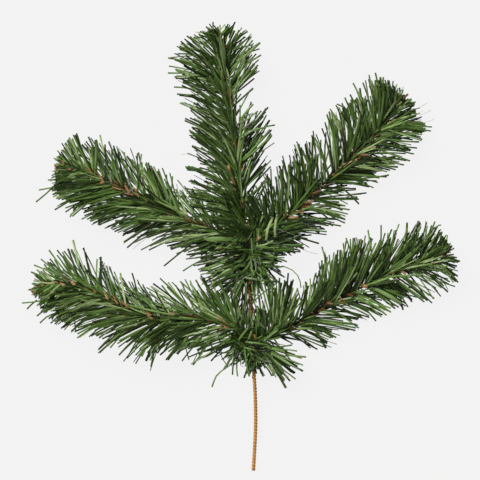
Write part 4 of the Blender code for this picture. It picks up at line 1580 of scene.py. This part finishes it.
# Brown strips round the bindings, in the same form.
BROWN_STRAYS = {
    "upper_left_sprig": (
        (1.9, 0.6, 215, 250, 26, 218, 249, 28, 222, 247, 29),
        (1.4, 0.45, 223, 249, 26, 226, 248, 28, 229, 246, 29),
        (1.3, 0.2, 229, 243, 27, 233, 246, 29, 236, 249, 29),
        (1.2, 0.4, 183, 218, 27, 187, 219, 28, 191, 221, 28),
        (1.3, 0.45, 184, 230, 25, 188, 229, 26, 192, 229, 26)),
    "upper_right_sprig": (
        (2.2, 0.65, 257, 240, 33, 259, 238, 34, 261, 236, 33),
        (1.3, 0.4, 283, 213, 28, 285, 217, 29, 286, 221, 28),
        (1.4, 0.55, 286, 225, 26, 290, 223, 27, 295, 222, 27)),
    "top_sprig": (
        (1.9, 0.7, 228, 165, 33, 229, 168, 34, 230, 171, 33),
        (1.4, 0.45, 231, 177, 33, 233, 181, 33, 235, 185, 32),
        (1.9, 0.65, 233, 188, 33, 235, 191, 34, 236, 195, 33),
        (1.3, 0.4, 239, 200, 31, 241, 204, 32, 243, 208, 31)),
    "lower_left_sprig": (
        (1.5, 0.4, 205, 318, 26, 208, 320, 27, 212, 322, 27),
        (1.4, 0.55, 217, 316, 26, 220, 319, 27, 222, 322, 27),
        (1.6, 0.6, 220, 325, 26, 224, 327, 27, 229, 328, 27),
        (1.2, 0.4, 208, 326, 26, 211, 328, 27, 214, 329, 26),
        (1.2, 0.65, 216, 332, 25, 219, 330, 26, 223, 329, 27),
        (1.2, 0.3, 225, 321, 26, 227, 324, 27, 230, 325, 27),
        (1.3, 0.4, 254, 334, 32, 255, 337, 33, 256, 340, 32),
        (1.6, 0.4, 250, 264, 28, 252, 268, 29, 251, 272, 28),
        (1.5, 0.5, 252, 276, 27, 251, 280, 28, 249, 284, 27)),
}

# Brown strips over the wires: across, down, across, down, width and shade.
BARK = {
    "top_sprig": (
        (214, 36, 216, 39, 1.8, 0.75), (219, 34, 218, 30, 1.3, 0.3), (223, 39, 225, 43, 1.3, 0.35),
        (220, 46, 219, 52, 1.5, 0.5), (222, 50, 221, 55, 1.3, 0.3), (216, 55, 217, 59, 1.3, 0.4),
        (217, 62, 220, 68, 1.8, 0.65), (223, 68, 225, 73, 1.4, 0.2), (223, 75, 224, 79, 1.3, 0.5),
        (226, 82, 225, 87, 1.2, 0.3), (225, 92, 226, 97, 1.4, 0.3), (228, 100, 229, 105, 1.6, 0.5),
        (224, 125, 228, 130, 1.2, 0.9), (231, 132, 232, 137, 1.4, 0.25), (233, 145, 236, 141, 1.7, 0.6),
        (232, 152, 231, 157, 1.4, 0.35), (233, 178, 234, 183, 1.5, 0.45)),
    "upper_left_sprig": (
        (55, 165, 57, 170, 1.8, 0.35), (62, 160, 64, 165, 1.3, 0.4), (66, 168, 71, 170, 1.5, 0.4),
        (88, 168, 92, 174, 1.6, 0.5), (88, 177, 95, 180, 1.3, 0.4), (99, 174, 104, 183, 1.5, 0.55),
        (96, 184, 104, 182, 1.7, 0.6), (112, 187, 121, 190, 1.3, 0.45), (125, 185, 130, 194, 1.8, 0.45),
        (124, 193, 133, 195, 1.3, 0.4), (134, 188, 139, 197, 1.5, 0.55), (144, 197, 148, 203, 1.6, 0.5),
        (151, 199, 156, 206, 1.5, 0.5), (150, 210, 158, 209, 1.5, 0.4), (166, 212, 171, 218, 1.4, 0.5)),
    "upper_right_sprig": (
        (404, 98, 408, 94, 1.7, 0.3), (401, 99, 402, 95, 1.3, 0.2), (395, 98, 397, 105, 1.4, 0.6),
        (401, 102, 406, 105, 1.5, 0.55), (387, 124, 396, 121, 1.9, 0.6), (382, 131, 388, 127, 1.3, 0.3),
        (372, 138, 380, 134, 1.3, 0.35), (362, 149, 376, 147, 1.6, 0.6), (354, 158, 354, 147, 1.4, 0.45),
        (357, 154, 368, 155, 1.6, 0.6), (343, 165, 357, 160, 1.7, 0.75), (340, 168, 349, 166, 1.3, 0.45),
        (332, 175, 342, 173, 1.6, 0.6), (321, 166, 325, 162, 1.3, 0.4), (311, 194, 320, 191, 1.5, 0.5),
        (303, 203, 313, 201, 2.0, 0.65), (297, 211, 304, 213, 1.5, 0.5), (288, 218, 298, 217, 1.8, 0.65)),
    "lower_left_sprig": (
        (31, 290, 34, 293, 2.2, 0.6), (41, 284, 45, 288, 2.0, 0.55), (60, 281, 66, 288, 2.2, 0.8),
        (71, 281, 77, 288, 2.1, 0.8), (84, 286, 89, 292, 1.8, 0.65), (93, 289, 96, 293, 1.3, 0.5),
        (104, 291, 108, 300, 1.8, 0.7), (114, 299, 118, 304, 1.4, 0.55), (121, 301, 129, 308, 1.4, 0.45),
        (130, 313, 135, 318, 1.7, 0.6), (120, 317, 127, 315, 1.6, 0.9), (105, 317, 113, 312, 1.3, 0.95),
        (137, 323, 145, 321, 1.6, 0.6), (131, 327, 136, 324, 1.5, 0.6), (147, 314, 153, 320, 1.6, 0.5),
        (160, 318, 166, 321, 1.4, 0.4), (170, 313, 174, 317, 1.5, 0.6), (186, 320, 192, 320, 1.5, 0.4),
        (194, 316, 200, 318, 1.4, 0.5), (174, 328, 178, 326, 1.3, 0.5), (196, 329, 199, 325, 1.3, 0.55)),
    "lower_right_sprig": (
        (360, 283, 368, 287, 1.7, 0.9), (361, 285, 366, 288, 1.3, 0.75), (347, 294, 353, 296, 1.5, 0.6),
        (338, 298, 345, 300, 1.5, 0.6), (390, 271, 394, 274, 1.3, 0.4), (392, 275, 397, 277, 1.6, 0.65),
        (398, 269, 406, 274, 2.0, 0.7), (401, 268, 409, 270, 1.3, 0.4), (410, 264, 417, 268, 1.9, 0.7),
        (405, 263, 411, 265, 1.3, 0.4), (417, 262, 427, 265, 1.7, 0.65), (428, 261, 437, 264, 1.5, 0.45),
        (440, 255, 447, 257, 1.5, 0.5), (432, 250, 435, 244, 1.3, 0.4), (326, 303, 333, 304, 1.4, 0.4),
        (306, 311, 313, 313, 1.4, 0.4), (299, 322, 305, 325, 1.5, 0.55), (289, 324, 294, 327, 1.3, 0.35)),
}

HAIRS = (
    ((418, 108, 20), (422, 106, 22), (427, 103, 24)),
    ((418, 113, 20), (421, 112, 21), (423, 111, 22)),
    ((420, 115, 20), (426, 113, 22), (431, 110, 23)),
    ((426, 122, 18), (430, 121, 20), (434, 119, 21)),
    ((141, 233, 18), (132, 238, 14), (123, 244, 9)),
    ((147, 238, 16), (140, 243, 12), (133, 249, 7)),
    ((300, 248, 20), (309, 252, 17), (318, 254, 12)),
    ((181, 155, 28), (185, 154, 31), (192, 154, 33)),
)


def main() -> None:
    """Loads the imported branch, dresses it piece by piece and sets the studio."""
    logging.basicConfig(level=logging.INFO, format="%(message)s")
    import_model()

    green, brown, grey = (finish.build() for finish in (GREEN_FILM, BROWN_FILM, LOOSE_FILM))
    core = CORE_COAT.build()
    Stem(STEM_KNOTS).build(STEM_COAT.build())
    tape = TapeFinish().build()
    Wrapping("upper_binding", STEM_KNOTS, 1.0, -11.0, (4.7, 4.7, 4.7, 3.3)).build(tape)
    Wrapping("lower_binding", STEM_KNOTS, -76.0, -99.0, (4.7, 4.7, 3.4, 2.1, 2.1)).build(tape)
    for sprig in sprigs():
        sprig.build_wire(core)
        sprig.build_needles(Stray.drawn(STRAYS[sprig.name]), green)
        sprig.build_bark(BARK[sprig.name], Stray.drawn(BROWN_STRAYS.get(sprig.name, ())), brown)
    LooseHairs(HAIRS).build(grey)
    Studio().build()


if __name__ == "__main__":
    main()
